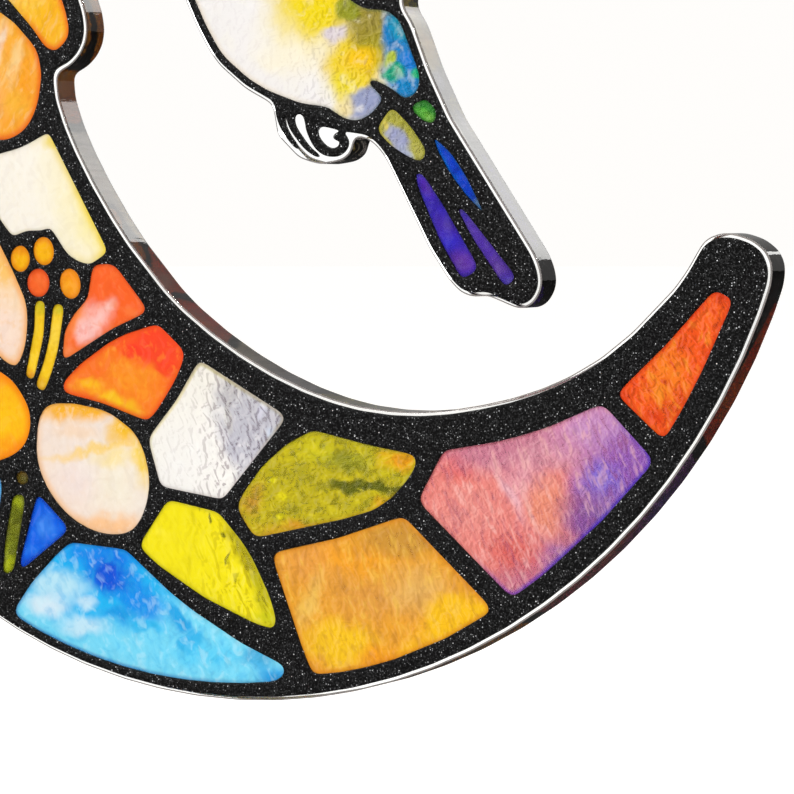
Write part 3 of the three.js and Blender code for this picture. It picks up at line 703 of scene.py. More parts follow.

# area: across, up, half width, half height, turn, softness, colour, amount, as shares of the pane's box
# rim: colour, width in mm, amount, side it lies on or None for all round
# mottle: dark, light, amount of each, size across and along in mm, turn
# crinkle: size across and along in mm, turn, painted highlight and painted shade on the wrinkle flanks,
# share of the width where it starts and is full
# relief: kind, height in mm, size in mm, turn
paneLooks = {
    "horn_tip_pane": {
        "base": (252, 92, 20),
        "areas": [
            (0.45, 0.45, 0.22, 0.40, 20, 0.9, (255, 140, 28), 0.8),
            (0.35, 0.30, 0.14, 0.12, 0, 0.9, (255, 160, 35), 0.7),
            (0.45, 0.18, 0.22, 0.10, 10, 0.8, (222, 66, 14), 0.7),
            (0.78, 0.85, 0.22, 0.14, 0, 0.9, (255, 110, 30), 0.7),
        ],
        "rims": [((240, 66, 16), 0.5, 0.8, None)],
        "mottle": ((214, 54, 8), (255, 158, 40), 0.75, 0.8, 0.8, 1.3, 20),
        "crinkle": (0.75, 0.95, 30, 0.25, 0.5, -2.0, -1.0),
        "relief": ("pebble", 0.05, 0.9, 20),
    },
    "violet_pane": {
        "base": (240, 138, 130),
        "areas": [
            (0.22, 0.42, 0.16, 0.16, 0, 0.9, (240, 150, 142), 0.8),
            (0.18, 0.66, 0.10, 0.10, 0, 0.9, (240, 104, 98), 0.8),
            (0.38, 0.78, 0.34, 0.15, 12, 0.7, (206, 128, 156), 0.9),
            (0.46, 0.60, 0.12, 0.16, 10, 0.9, (232, 164, 182), 0.8),
            (0.58, 0.46, 0.13, 0.20, 15, 0.8, (244, 150, 116), 0.9),
            (0.58, 0.72, 0.18, 0.10, 0, 0.8, (226, 160, 178), 0.7),
            (0.80, 0.88, 0.28, 0.20, 0, 0.8, (204, 148, 206), 0.95),
            (0.93, 0.66, 0.24, 0.26, 0, 0.8, (146, 88, 188), 0.95),
            (0.77, 0.62, 0.13, 0.13, 0, 0.9, (118, 104, 222), 0.85),
            (0.74, 0.42, 0.14, 0.20, 20, 0.8, (128, 72, 160), 0.9),
            (0.84, 0.46, 0.14, 0.14, 0, 0.8, (152, 112, 182), 0.7),
            (0.60, 0.22, 0.15, 0.10, 35, 0.8, (168, 112, 168), 0.85),
            (0.42, 0.22, 0.16, 0.13, 0, 0.9, (224, 98, 84), 0.85),
            (0.44, 0.08, 0.14, 0.09, 0, 0.8, (198, 106, 132), 0.8),
            (0.40, 0.52, 0.035, 0.19, 24, 0.9, (246, 198, 210), 0.7),
            (0.50, 0.42, 0.02, 0.14, 20, 0.9, (250, 200, 190), 0.6),
        ],
        "rims": [((44, 24, 196), 0.55, 0.95, (0.8, -0.6)), ((150, 50, 60), 0.35, 0.6, (-0.6, 0.6))],
        "mottle": ((166, 84, 116), (252, 196, 190), 0.5, 0.5, 0.55, 1.8, 24),
        "crinkle": (0.6, 0.75, 25, 0.45, 0.3, -2.0, -1.0),
        "relief": ("brush", 0.10, 0.6, 114),
    },
    "amber_pane": {
        "base": (240, 170, 44),
        "areas": [
            (0.18, 0.70, 0.20, 0.20, 0, 0.9, (240, 166, 72), 0.85),
            (0.40, 0.74, 0.22, 0.12, 10, 0.8, (255, 172, 24), 0.7),
            (0.60, 0.86, 0.24, 0.12, 12, 0.7, (196, 146, 58), 0.75),
            (0.45, 0.50, 0.26, 0.18, 0, 0.9, (226, 160, 70), 0.8),
            (0.68, 0.56, 0.17, 0.20, -20, 0.9, (234, 188, 104), 0.85),
            (0.17, 0.46, 0.05, 0.22, -14, 0.9, (246, 206, 100), 0.8),
            (0.32, 0.20, 0.20, 0.16, 0, 0.7, (252, 206, 14), 0.95),
            (0.52, 0.12, 0.14, 0.10, 10, 0.8, (252, 164, 16), 0.9),
            (0.88, 0.36, 0.17, 0.19, 35, 0.4, (255, 202, 0), 0.97),
            (0.68, 0.18, 0.10, 0.14, -20, 0.6, (255, 196, 10), 0.8),
        ],
        "rims": [((228, 140, 24), 0.5, 0.7, None)],
        "mottle": ((186, 128, 48), (252, 208, 84), 0.4, 0.5, 0.7, 1.7, 20),
        "crinkle": (0.9, 1.3, 20, 0.2, 0.2, -2.0, -1.0),
        "relief": ("brush", 0.09, 0.9, 110),
    },
    "olive_pane": {
        "base": (198, 184, 20),
        "areas": [
            (0.45, 0.82, 0.16, 0.14, 0, 0.9, (212, 204, 24), 0.85),
            (0.62, 0.74, 0.16, 0.14, 0, 0.8, (152, 154, 34), 0.8),
            (0.34, 0.62, 0.14, 0.12, 0, 0.9, (176, 166, 26), 0.8),
            (0.72, 0.50, 0.26, 0.065, 4, 0.6, (84, 94, 20), 0.9),
            (0.90, 0.46, 0.06, 0.08, 0, 0.8, (90, 86, 22), 0.7),
            (0.93, 0.76, 0.16, 0.12, 0, 0.8, (246, 166, 16), 0.95),
            (0.86, 0.30, 0.10, 0.12, 30, 0.6, (248, 178, 8), 0.9),
            (0.68, 0.20, 0.14, 0.09, 8, 0.7, (210, 192, 10), 0.7),
            (0.40, 0.10, 0.30, 0.08, 4, 0.9, (226, 156, 30), 0.85),
            (0.09, 0.34, 0.07, 0.20, -10, 0.9, (206, 150, 42), 0.85),
            (0.20, 0.54, 0.025, 0.035, 0, 0.6, (240, 232, 0), 0.95),
            (0.27, 0.38, 0.025, 0.035, 0, 0.6, (236, 226, 0), 0.9),
            (0.22, 0.20, 0.025, 0.045, 0, 0.6, (240, 230, 0), 0.9),
        ],
        "rims": [((214, 160, 40), 0.4, 0.6, (0.0, -0.8)), ((150, 150, 30), 0.4, 0.5, (0.0, 0.9))],
        "mottle": ((120, 120, 20), (232, 218, 30), 0.5, 0.5, 1.1, 0.8, 5),
        "crinkle": (1.0, 0.8, 10, 0.2, 0.35, -2.0, -1.0),
        "relief": ("pebble", 0.07, 1.2, 0),
    },
    "white_pane": {
        "base": (251, 249, 246),
        "areas": [
            # painted shade: this grey area over the right of the pane stands in for a darker view through
            # the glass there
            (0.86, 0.60, 0.34, 0.50, 12, 0.35, (198, 198, 212), 0.95),
            (0.66, 0.88, 0.10, 0.20, -30, 0.5, (196, 194, 200), 0.7),
            (0.74, 0.12, 0.10, 0.12, 20, 0.5, (206, 206, 214), 0.7),
            (0.58, 0.60, 0.04, 0.14, 0, 0.6, (205, 203, 203), 0.7),
            (0.90, 0.46, 0.05, 0.08, 20, 0.8, (216, 226, 246), 0.9),
            (0.82, 0.66, 0.04, 0.06, 0, 0.8, (222, 224, 244), 0.9),
        ],
        "rims": [
            ((255, 238, 110), 0.45, 0.8, (-0.5, 0.7)),
            ((150, 142, 84), 0.45, 0.8, (0.6, 0.9)),
            ((228, 214, 210), 0.3, 0.5, None),
        ],
        "mottle": ((178, 178, 186), (255, 255, 255), 0.0, 0.5, 1.0, 1.8, 10),
        "crinkle": (0.8, 1.3, 24, 0.5, 0.75, 0.25, 0.6),
        "relief": ("crackle", 0.13, 0.9, 8),
    },
    "lime_pane": {
        "base": (249, 234, 0),
        "areas": [
            (0.76, 0.60, 0.07, 0.30, 28, 0.7, (150, 140, 14), 0.85),
            (0.90, 0.28, 0.08, 0.24, 14, 0.8, (176, 172, 14), 0.8),
            (0.93, 0.08, 0.12, 0.08, 0, 0.8, (206, 206, 8), 0.9),
            (0.42, 0.93, 0.012, 0.03, 0, 0.6, (120, 116, 10), 0.9),
            (0.50, 0.86, 0.014, 0.035, 0, 0.6, (120, 116, 10), 0.9),
            (0.62, 0.74, 0.014, 0.03, 0, 0.6, (110, 110, 10), 0.9),
            (0.64, 0.56, 0.014, 0.06, -20, 0.6, (130, 124, 10), 0.8),
            (0.70, 0.40, 0.014, 0.06, -10, 0.6, (150, 142, 10), 0.8),
            (0.16, 0.72, 0.05, 0.05, 0, 0.9, (255, 240, 60), 0.7),
        ],
        "rims": [((206, 196, 24), 0.45, 0.75, None)],
        "mottle": ((214, 200, 0), (255, 242, 40), 0.3, 0.4, 1.0, 1.6, 10),
        "crinkle": (1.0, 1.8, 24, 0.25, 0.5, 0.25, 0.8),
        "relief": ("pebble", 0.045, 1.3, 0),
    },
    "sky_pane": {
        "base": (122, 222, 252),
        "areas": [
            (0.34, 0.74, 0.34, 0.40, 0, 0.6, (0, 184, 248), 0.95),
            (0.34, 0.92, 0.18, 0.16, 0, 0.8, (0, 130, 240), 0.9),
            (0.46, 0.62, 0.09, 0.20, 20, 0.6, (0, 136, 240), 0.8),
            (0.35, 0.76, 0.085, 0.15, 0, 0.7, (0, 76, 222), 0.97),
            (0.17, 0.66, 0.12, 0.14, 25, 0.7, (190, 234, 250), 0.95),
            (0.12, 0.50, 0.10, 0.10, 30, 0.8, (222, 240, 250), 0.9),
            (0.26, 0.36, 0.10, 0.10, 30, 0.8, (206, 238, 252), 0.9),
            (0.27, 0.54, 0.05, 0.05, 0, 0.9, (214, 240, 252), 0.8),
            (0.40, 0.46, 0.07, 0.07, 0, 0.8, (0, 150, 232), 0.85),
            (0.50, 0.40, 0.08, 0.06, -20, 0.7, (0, 186, 244), 0.8),
            (0.62, 0.46, 0.035, 0.11, 20, 0.5, (0, 164, 234), 0.9),
            (0.66, 0.30, 0.05, 0.08, -20, 0.5, (0, 178, 240), 0.8),
            (0.72, 0.20, 0.16, 0.12, 0, 0.9, (70, 206, 250), 0.7),
            (0.90, 0.20, 0.06, 0.10, -20, 0.6, (0, 150, 214), 0.6),
            (0.96, 0.07, 0.07, 0.10, 0, 0.7, (0, 158, 232), 0.9),
        ],
        "rims": [((0, 84, 176), 0.45, 0.85, (-0.4, -0.5)), ((0, 110, 190), 0.35, 0.6, (0.2, 0.8))],
        "mottle": ((40, 180, 240), (206, 244, 255), 0.35, 0.35, 0.9, 1.3, 30),
        "crinkle": (1.3, 1.3, 30, 0.12, 0.15, 0.2, 0.9),
        "relief": ("pebble", 0.05, 1.4, 20),
    },
    "small_blue_pane": {
        "base": (0, 104, 240),
        "areas": [
            (0.52, 0.60, 0.24, 0.20, 0, 0.9, (62, 148, 255), 0.9),
            (0.30, 0.25, 0.2, 0.12, 0, 0.9, (20, 120, 246), 0.7),
            (0.2, 0.06, 0.4, 0.12, 0, 0.9, (0, 74, 214), 0.8),
        ],
        "rims": [((0, 52, 178), 0.5, 0.8, None)],
        "mottle": ((0, 84, 222), (50, 140, 255), 0.3, 0.3, 1.4, 1.4, 0),
        "relief": ("smooth", 0.03, 1.6, 0),
    },
    "stem_pane": {
        "base": (110, 118, 18),
        "areas": [
            (0.7, 0.92, 0.6, 0.12, 0, 0.9, (156, 168, 10), 0.9),
            (0.3, 0.12, 0.6, 0.2, 0, 0.9, (178, 190, 0), 0.9),
            (0.5, 0.60, 0.7, 0.14, 0, 0.9, (88, 88, 18), 0.8),
        ],
        "rims": [((62, 62, 14), 0.35, 0.7, None)],
        "mottle": ((70, 76, 12), (160, 172, 20), 0.4, 0.3, 1.2, 0.8, 0),
        "relief": ("smooth", 0.02, 1.0, 0),
    },
    "bud_pane": {
        "base": (104, 84, 22),
        "areas": [
            (0.35, 0.7, 0.4, 0.3, 0, 0.9, (116, 82, 20), 0.9),
            (0.75, 0.3, 0.4, 0.4, 0, 0.9, (90, 88, 24), 0.8),
        ],
        "rims": [((58, 46, 16), 0.35, 0.8, None)],
        "mottle": ((70, 60, 16), (130, 112, 40), 0.4, 0.3, 2.0, 2.0, 0),
        "relief": ("smooth", 0.02, 0.8, 0),
    },
    "bloom_petal_blush": {
        "base": (246, 233, 224),
        "areas": [
            (0.70, 0.42, 0.34, 0.40, 0, 0.9, (248, 240, 220), 0.8),
            (0.34, 0.40, 0.22, 0.24, 0, 0.9, (244, 232, 232), 0.8),
            (0.40, 0.98, 0.52, 0.13, 8, 0.7, (255, 186, 8), 0.97),
            (0.80, 0.84, 0.24, 0.14, 42, 0.8, (255, 200, 8), 0.97),
            (0.94, 0.60, 0.09, 0.28, 8, 0.9, (255, 216, 40), 0.9),
            (0.35, 0.78, 0.24, 0.09, 0, 0.8, (250, 222, 196), 0.9),
            (0.55, 0.66, 0.60, 0.045, 12, 0.9, (255, 216, 118), 0.9),
            (0.70, 0.60, 0.24, 0.09, 6, 0.9, (255, 232, 160), 0.8),
            (0.64, 0.07, 0.40, 0.10, 0, 0.8, (255, 200, 142), 0.9),
        ],
        "rims": [((255, 198, 140), 0.9, 0.8, (-0.6, -0.5)), ((236, 158, 30), 0.3, 0.7, (0.3, 0.9))],
        "mottle": ((246, 222, 200), (255, 250, 244), 0.2, 0.25, 0.6, 0.9, 0),
        "crinkle": softCrinkle,
        "relief": ("smooth", 0.03, 2.6, 0),
    },
    "bloom_petal_red": {
        "base": (255, 142, 32),
        "areas": [
            (0.30, 0.50, 0.26, 0.20, 20, 0.9, (255, 124, 38), 0.8),
            (0.55, 0.44, 0.24, 0.20, 0, 0.9, (255, 166, 30), 0.8),
            (0.62, 0.84, 0.34, 0.13, 10, 0.7, (255, 92, 36), 0.9),
            (0.80, 0.78, 0.26, 0.26, 0, 0.55, (255, 70, 38), 0.97),
            (0.62, 0.72, 0.10, 0.08, 0, 0.6, (255, 60, 38), 0.8),
            (0.85, 0.54, 0.10, 0.12, 20, 0.6, (255, 66, 36), 0.9),
            (0.92, 0.34, 0.10, 0.22, -12, 0.9, (255, 106, 38), 0.8),
            (0.24, 0.36, 0.14, 0.10, 0, 0.9, (255, 212, 24), 0.9),
            (0.44, 0.18, 0.24, 0.10, -24, 0.9, (255, 222, 16), 0.95),
            (0.56, 0.08, 0.14, 0.07, -20, 0.8, (255, 214, 10), 0.9),
            (0.42, 0.74, 0.03, 0.04, 0, 0.8, (255, 176, 50), 0.8),
        ],
        "rims": [((250, 78, 26), 0.7, 0.85, None)],
        "mottle": ((255, 104, 24), (255, 186, 44), 0.3, 0.35, 0.9, 1.0, 0),
        "crinkle": softCrinkle,
        "relief": ("smooth", 0.03, 2.2, 0),
    },
    "bloom_petal_coral": {
        "base": (255, 106, 38),
        "areas": [
            (0.16, 0.40, 0.18, 0.28, 0, 0.9, (255, 156, 84), 0.8),
            (0.40, 0.42, 0.24, 0.20, 40, 0.85, (255, 206, 200), 0.98),
            (0.56, 0.58, 0.14, 0.12, 30, 0.9, (255, 206, 196), 0.9),
            (0.26, 0.28, 0.14, 0.16, 20, 0.9, (255, 214, 214), 0.9),
            (0.80, 0.52, 0.12, 0.08, 0, 0.9, (255, 130, 60), 0.8),
            (0.06, 0.06, 0.14, 0.10, 0, 0.9, (255, 150, 90), 0.9),
        ],
        "rims": [((255, 128, 52), 0.6, 0.8, (-0.6, -0.5)), ((226, 78, 24), 0.35, 0.7, (0.4, 0.8))],
        "mottle": ((250, 92, 30), (255, 140, 70), 0.3, 0.3, 0.9, 0.9, 0),
        "crinkle": softCrinkle,
        "relief": ("smooth", 0.03, 2.0, 0),
    },
    "bloom_petal_cream": {
        "base": (252, 228, 190),
        "areas": [
            (0.55, 0.92, 0.60, 0.22, 0, 0.9, (255, 170, 28), 0.97),
            (0.70, 0.66, 0.50, 0.14, 0, 0.9, (255, 204, 92), 0.85),
            (0.70, 0.22, 0.50, 0.30, 0, 0.9, (252, 236, 230), 0.95),
            (0.20, 0.50, 0.24, 0.40, 0, 0.9, (255, 214, 130), 0.7),
        ],
        "rims": [((255, 176, 84), 0.9, 0.85, None)],
        "mottle": ((255, 206, 140), (255, 248, 236), 0.3, 0.3, 0.6, 0.8, 0),
        "crinkle": softCrinkle,
        "relief": ("smooth", 0.03, 2.4, 0),
    },
    "bloom_petal_gold": {
        "base": (255, 188, 6),
        "areas": [
            (0.74, 0.42, 0.30, 0.34, 0, 0.9, (255, 212, 0), 0.95),
            (0.60, 0.88, 0.40, 0.16, 0, 0.9, (255, 158, 20), 0.85),
            (0.88, 0.12, 0.20, 0.16, 0, 0.9, (255, 158, 8), 0.8),
        ],
        "rims": [((255, 140, 0), 1.0, 0.9, None)],
        "mottle": ((255, 164, 10), (255, 222, 50), 0.3, 0.3, 0.6, 0.8, 0),
        "crinkle": softCrinkle,
        "relief": ("smooth", 0.03, 2.2, 0),
    },
    "filament_left": {
        "base": (255, 214, 34),
        "areas": [
            (0.7, 0.95, 0.6, 0.12, 0, 0.9, (206, 198, 34), 0.9),
            (0.2, 0.04, 0.6, 0.14, 0, 0.9, (240, 156, 20), 0.9),
        ],
        "rims": [((196, 150, 10), 0.28, 0.7, None)],
        "mottle": ((236, 180, 10), (255, 230, 90), 0.3, 0.3, 1.4, 0.8, 0),
        "relief": ("smooth", 0.02, 1.2, 0),
    },
    "filament_right": {
        "base": (255, 212, 30),
        "areas": [
            (0.9, 0.95, 0.5, 0.10, 0, 0.9, (212, 204, 36), 0.9),
            (0.8, 0.66, 0.4, 0.2, 0, 0.9, (255, 222, 70), 0.8),
            (0.1, 0.04, 0.5, 0.14, 0, 0.9, (226, 164, 20), 0.9),
        ],
        "rims": [((196, 150, 10), 0.28, 0.7, None)],
        "mottle": ((236, 180, 10), (255, 230, 90), 0.3, 0.3, 1.4, 0.8, 0),
        "relief": ("smooth", 0.02, 1.2, 0),
    },
    "cream_pane": {
        "base": (255, 249, 238),
        "areas": [
            (0.72, 0.40, 0.30, 0.60, 24, 0.9, (255, 247, 214), 0.9),
            (0.90, 0.30, 0.16, 0.42, 24, 0.9, (255, 244, 176), 0.9),
            (0.52, 0.93, 0.12, 0.06, 0, 0.9, (250, 226, 84), 0.8),
        ],
        "rims": [((252, 224, 50), 1.0, 0.95, (0.9, 0.35)), ((236, 222, 186), 0.35, 0.6, (-0.7, -0.5))],
        "mottle": ((250, 240, 214), (255, 254, 250), 0.2, 0.2, 0.5, 0.7, 0),
        "crinkle": softCrinkle,
        "relief": ("smooth", 0.02, 3.0, 0),
    },
    "rump_pane": {
        "base": (62, 158, 50),
        "areas": [
            (0.3, 0.6, 0.4, 0.3, 0, 0.9, (36, 122, 44), 0.9),
            (0.75, 0.15, 0.4, 0.25, 0, 0.9, (118, 186, 66), 0.9),
            (0.45, 0.35, 0.2, 0.14, 0, 0.9, (96, 186, 60), 0.7),
        ],
        "rims": [((30, 96, 36), 0.3, 0.7, None)],
        "mottle": ((30, 116, 40), (110, 190, 70), 0.5, 0.4, 2.2, 2.2, 0),
        "crinkle": (0.8, 0.8, 0, 0.3, 0.5, -2.0, -1.0),
        "relief": ("pebble", 0.04, 0.8, 0),
    },
    "under_tail_pane": {
        "base": (176, 172, 62),
        "areas": [
            (0.38, 0.42, 0.36, 0.22, -48, 0.55, (166, 172, 214), 0.97),
            (0.60, 0.20, 0.18, 0.14, -40, 0.6, (186, 196, 226), 0.8),
            (0.15, 0.66, 0.10, 0.16, 0, 0.8, (232, 214, 84), 0.85),
        ],
        "rims": [((232, 216, 90), 0.3, 0.7, (-0.8, 0.1)), ((142, 146, 40), 0.35, 0.6, (0.8, 0.3))],
        "mottle": ((150, 150, 70), (206, 204, 130), 0.35, 0.35, 2.0, 2.0, 0),
        "crinkle": (0.7, 0.7, 0, 0.3, 0.4, -2.0, -1.0),
        "relief": ("pebble", 0.04, 0.7, 0),
    },
    "tail_blue_pane": {
        "base": (0, 62, 204),
        "areas": [
            (0.20, 0.60, 0.10, 0.60, 38, 0.9, (0, 116, 196), 0.8),
            (0.9, 0.06, 0.16, 0.12, 0, 0.8, (110, 140, 150), 0.85),
            (0.1, 0.94, 0.16, 0.10, 0, 0.9, (20, 84, 190), 0.7),
        ],
        "rims": [((0, 96, 160), 0.25, 0.6, None)],
        "mottle": ((0, 40, 150), (30, 100, 226), 0.5, 0.4, 2.4, 1.0, 38),
        "relief": ("pebble", 0.03, 0.7, 0),
    },
    "tail_purple_pane": {
        "base": (58, 38, 192),
        "areas": [
            (0.2, 0.92, 0.3, 0.16, 0, 0.9, (88, 36, 182), 0.9),
            (0.5, 0.5, 0.3, 0.12, 0, 0.9, (78, 46, 176), 0.8),
            (0.7, 0.16, 0.35, 0.16, 0, 0.9, (104, 52, 168), 0.9),
            (0.55, 0.34, 0.2, 0.1, 0, 0.9, (46, 36, 204), 0.8),
        ],
        "rims": [((70, 78, 190), 0.28, 0.7, (-0.8, 0.0)), ((36, 30, 130), 0.3, 0.6, None)],
        "mottle": ((48, 26, 128), (120, 88, 200), 0.55, 0.4, 3.2, 3.2, 0),
        "relief": ("pebble", 0.035, 0.6, 0),
    },
    "tail_violet_pane": {
        "base": (80, 46, 170),
        "areas": [
            (0.12, 0.92, 0.22, 0.16, 0, 0.9, (58, 36, 176), 0.9),
            (0.7, 0.24, 0.3, 0.16, 0, 0.9, (104, 66, 168), 0.9),
            (0.86, 0.06, 0.2, 0.1, 0, 0.9, (74, 60, 176), 0.8),
        ],
        "rims": [((118, 106, 178), 0.28, 0.6, (-0.8, -0.2)), ((44, 34, 130), 0.3, 0.5, None)],
        "mottle": ((54, 30, 128), (128, 100, 190), 0.55, 0.4, 3.2, 3.2, 0),
        "relief": ("pebble", 0.035, 0.6, 0),
    },
    "bird_body": {
        "base": (249, 247, 248),
        "areas": [
            (0.52, 0.30, 0.20, 0.16, 0, 0.9, (255, 246, 212), 0.9),
            (0.44, 0.22, 0.14, 0.06, 0, 0.9, (255, 248, 226), 0.8),
            (0.60, 0.50, 0.24, 0.24, 0, 0.7, (246, 220, 10), 0.95),
            (0.58, 0.40, 0.14, 0.10, 0, 0.7, (248, 224, 0), 0.95),
            (0.74, 0.20, 0.13, 0.13, 0, 0.55, (246, 216, 0), 0.97),
            (0.70, 0.12, 0.09, 0.06, 0, 0.8, (246, 228, 30), 0.9),
            (0.82, 0.36, 0.14, 0.12, 0, 0.6, (158, 142, 8), 0.95),
            (0.86, 0.26, 0.09, 0.08, 0, 0.7, (180, 168, 10), 0.85),
            (0.72, 0.40, 0.05, 0.045, 0, 0.5, (150, 158, 20), 0.85),
            (0.76, 0.22, 0.08, 0.05, 20, 0.8, (255, 206, 0), 0.8),
            (0.80, 0.18, 0.02, 0.03, 0, 0.9, (206, 170, 0), 0.7),
            (0.655, 0.312, 0.05, 0.038, 0, 0.6, (226, 216, 226), 0.97),
            (0.95, 0.22, 0.09, 0.20, 6, 0.35, (0, 132, 206), 0.98),
            (0.93, 0.34, 0.05, 0.07, 20, 0.6, (0, 158, 190), 0.9),
            (0.985, 0.27, 0.04, 0.05, 0, 0.7, (0, 66, 158), 0.85),
            (0.965, 0.205, 0.04, 0.04, 0, 0.7, (0, 126, 222), 0.85),
            (0.885, 0.215, 0.03, 0.03, 0, 0.6, (196, 212, 6), 0.9),
            (0.90, 0.165, 0.045, 0.03, 0, 0.6, (0, 176, 120), 0.9),
            (0.99, 0.165, 0.03, 0.03, 30, 0.6, (0, 190, 110), 0.9),
            (0.95, 0.12, 0.05, 0.035, 0, 0.8, (0, 140, 206), 0.9),
            (0.80, 0.055, 0.11, 0.065, 8, 0.45, (152, 162, 204), 0.97),
            (0.70, 0.045, 0.045, 0.05, 0, 0.7, (250, 232, 164), 0.95),
            (0.76, 0.045, 0.02, 0.02, 0, 0.8, (236, 236, 240), 0.8),
            (0.85, 0.62, 0.16, 0.14, 0, 0.7, (120, 150, 30), 0.85),
            (0.72, 0.80, 0.22, 0.16, 0, 0.7, (96, 168, 70), 0.85),
            (0.40, 0.85, 0.18, 0.14, 0, 0.8, (244, 226, 60), 0.8),
        ],
        "rims": [((252, 236, 214), 0.6, 0.7, (-0.7, -0.5)), ((0, 96, 80), 0.3, 0.5, (0.9, 0.0))],
        "mottle": ((210, 186, 20), (255, 252, 240), 0.0, 0.3, 1.2, 1.2, 0),
        "crinkle": (0.9, 0.9, 10, 0.3, 0.4, 0.4, 0.75),
        "relief": ("pebble", 0.055, 1.0, 0),
    },
}

# panes that share a look, plainer and in keeping with the others
plainLooks = {
    "warm": {"rim": (0.8, 0.85), "mottle": (0.35, 0.45, 0.7, 1.4, 40), "relief": ("smooth", 0.03, 2.2, 0)},
    "cool": {"rim": (0.5, 0.7), "mottle": (0.4, 0.4, 0.9, 1.3, 20), "relief": ("pebble", 0.05, 1.3, 0)},
}


def plainLook(base, second, third, rim, family):
    s = plainLooks[family]
    darker = tuple(int(c * 0.84) for c in base)
    lighter = tuple(min(255, int(c * 0.6 + 102)) for c in base)
    return {
        "base": base,
        "areas": [
            (0.30, 0.70, 0.40, 0.36, 0, 0.9, second, 0.85),
            (0.72, 0.28, 0.34, 0.30, 20, 0.9, third, 0.85),
        ],
        "rims": [(rim, *s["rim"], None)],
        "mottle": (darker, lighter, *s["mottle"]),
        "relief": s["relief"],
    }


anther = {
    "base": (255, 184, 2),
    "areas": [
        (0.45, 0.45, 0.40, 0.36, 0, 0.9, (255, 196, 0), 0.9),
        (0.5, 0.9, 0.5, 0.2, 0, 0.9, (250, 158, 10), 0.8),
    ],
    "rims": [((238, 136, 8), 0.5, 0.85, None)],
    "mottle": ((244, 156, 4), (255, 206, 60), 0.3, 0.3, 1.6, 1.6, 0),
    "relief": ("smooth", 0.03, 1.4, 0),
}
for name in ("anther_outer", "anther_upper"):
    paneLooks[name] = anther
paneLooks["anther_right"] = {
    **anther,
    "base": (255, 158, 24),
    "areas": [(0.5, 0.4, 0.4, 0.36, 0, 0.9, (255, 170, 20), 0.9)],
}
paneLooks["anther_middle"] = {
    **anther,
    "base": (255, 106, 36),
    "areas": [(0.5, 0.5, 0.4, 0.4, 0, 0.9, (255, 118, 48), 0.9)],
    "rims": [((224, 74, 22), 0.5, 0.85, None)],
    "mottle": ((240, 84, 20), (255, 140, 70), 0.3, 0.3, 1.6, 1.6, 0),
}
paneLooks["upper_petal_low"] = {
    "base": (255, 184, 52),
    "areas": [
        (0.40, 0.50, 0.34, 0.40, 0, 0.9, (255, 196, 96), 0.8),
        (0.45, 0.30, 0.20, 0.20, 0, 0.9, (255, 186, 104), 0.8),
        (0.56, 0.66, 0.07, 0.22, -26, 0.9, (255, 232, 206), 0.9),
        (0.74, 0.52, 0.06, 0.20, -22, 0.9, (255, 226, 156), 0.85),
        (0.84, 0.40, 0.12, 0.16, 0, 0.9, (255, 178, 32), 0.85),
        (0.74, 0.24, 0.14, 0.12, 0, 0.9, (255, 204, 60), 0.8),
    ],
    "rims": [((246, 104, 24), 0.8, 0.9, (0.7, -0.5)), ((230, 160, 40), 0.4, 0.6, (-0.4, 0.7))],
    "mottle": ((255, 160, 40), (255, 224, 160), 0.35, 0.4, 0.6, 1.6, -30),
    "relief": ("smooth", 0.04, 2.0, -30),
}
paneLooks["upper_petal_right"] = {
    **paneLooks["upper_petal_low"],
    "base": (255, 204, 40),
    "areas": [
        (0.28, 0.70, 0.30, 0.28, 0, 0.9, (255, 240, 216), 0.9),
        (0.60, 0.60, 0.14, 0.30, -30, 0.9, (255, 218, 90), 0.8),
        (0.76, 0.34, 0.20, 0.24, 0, 0.9, (255, 200, 28), 0.9),
    ],
}
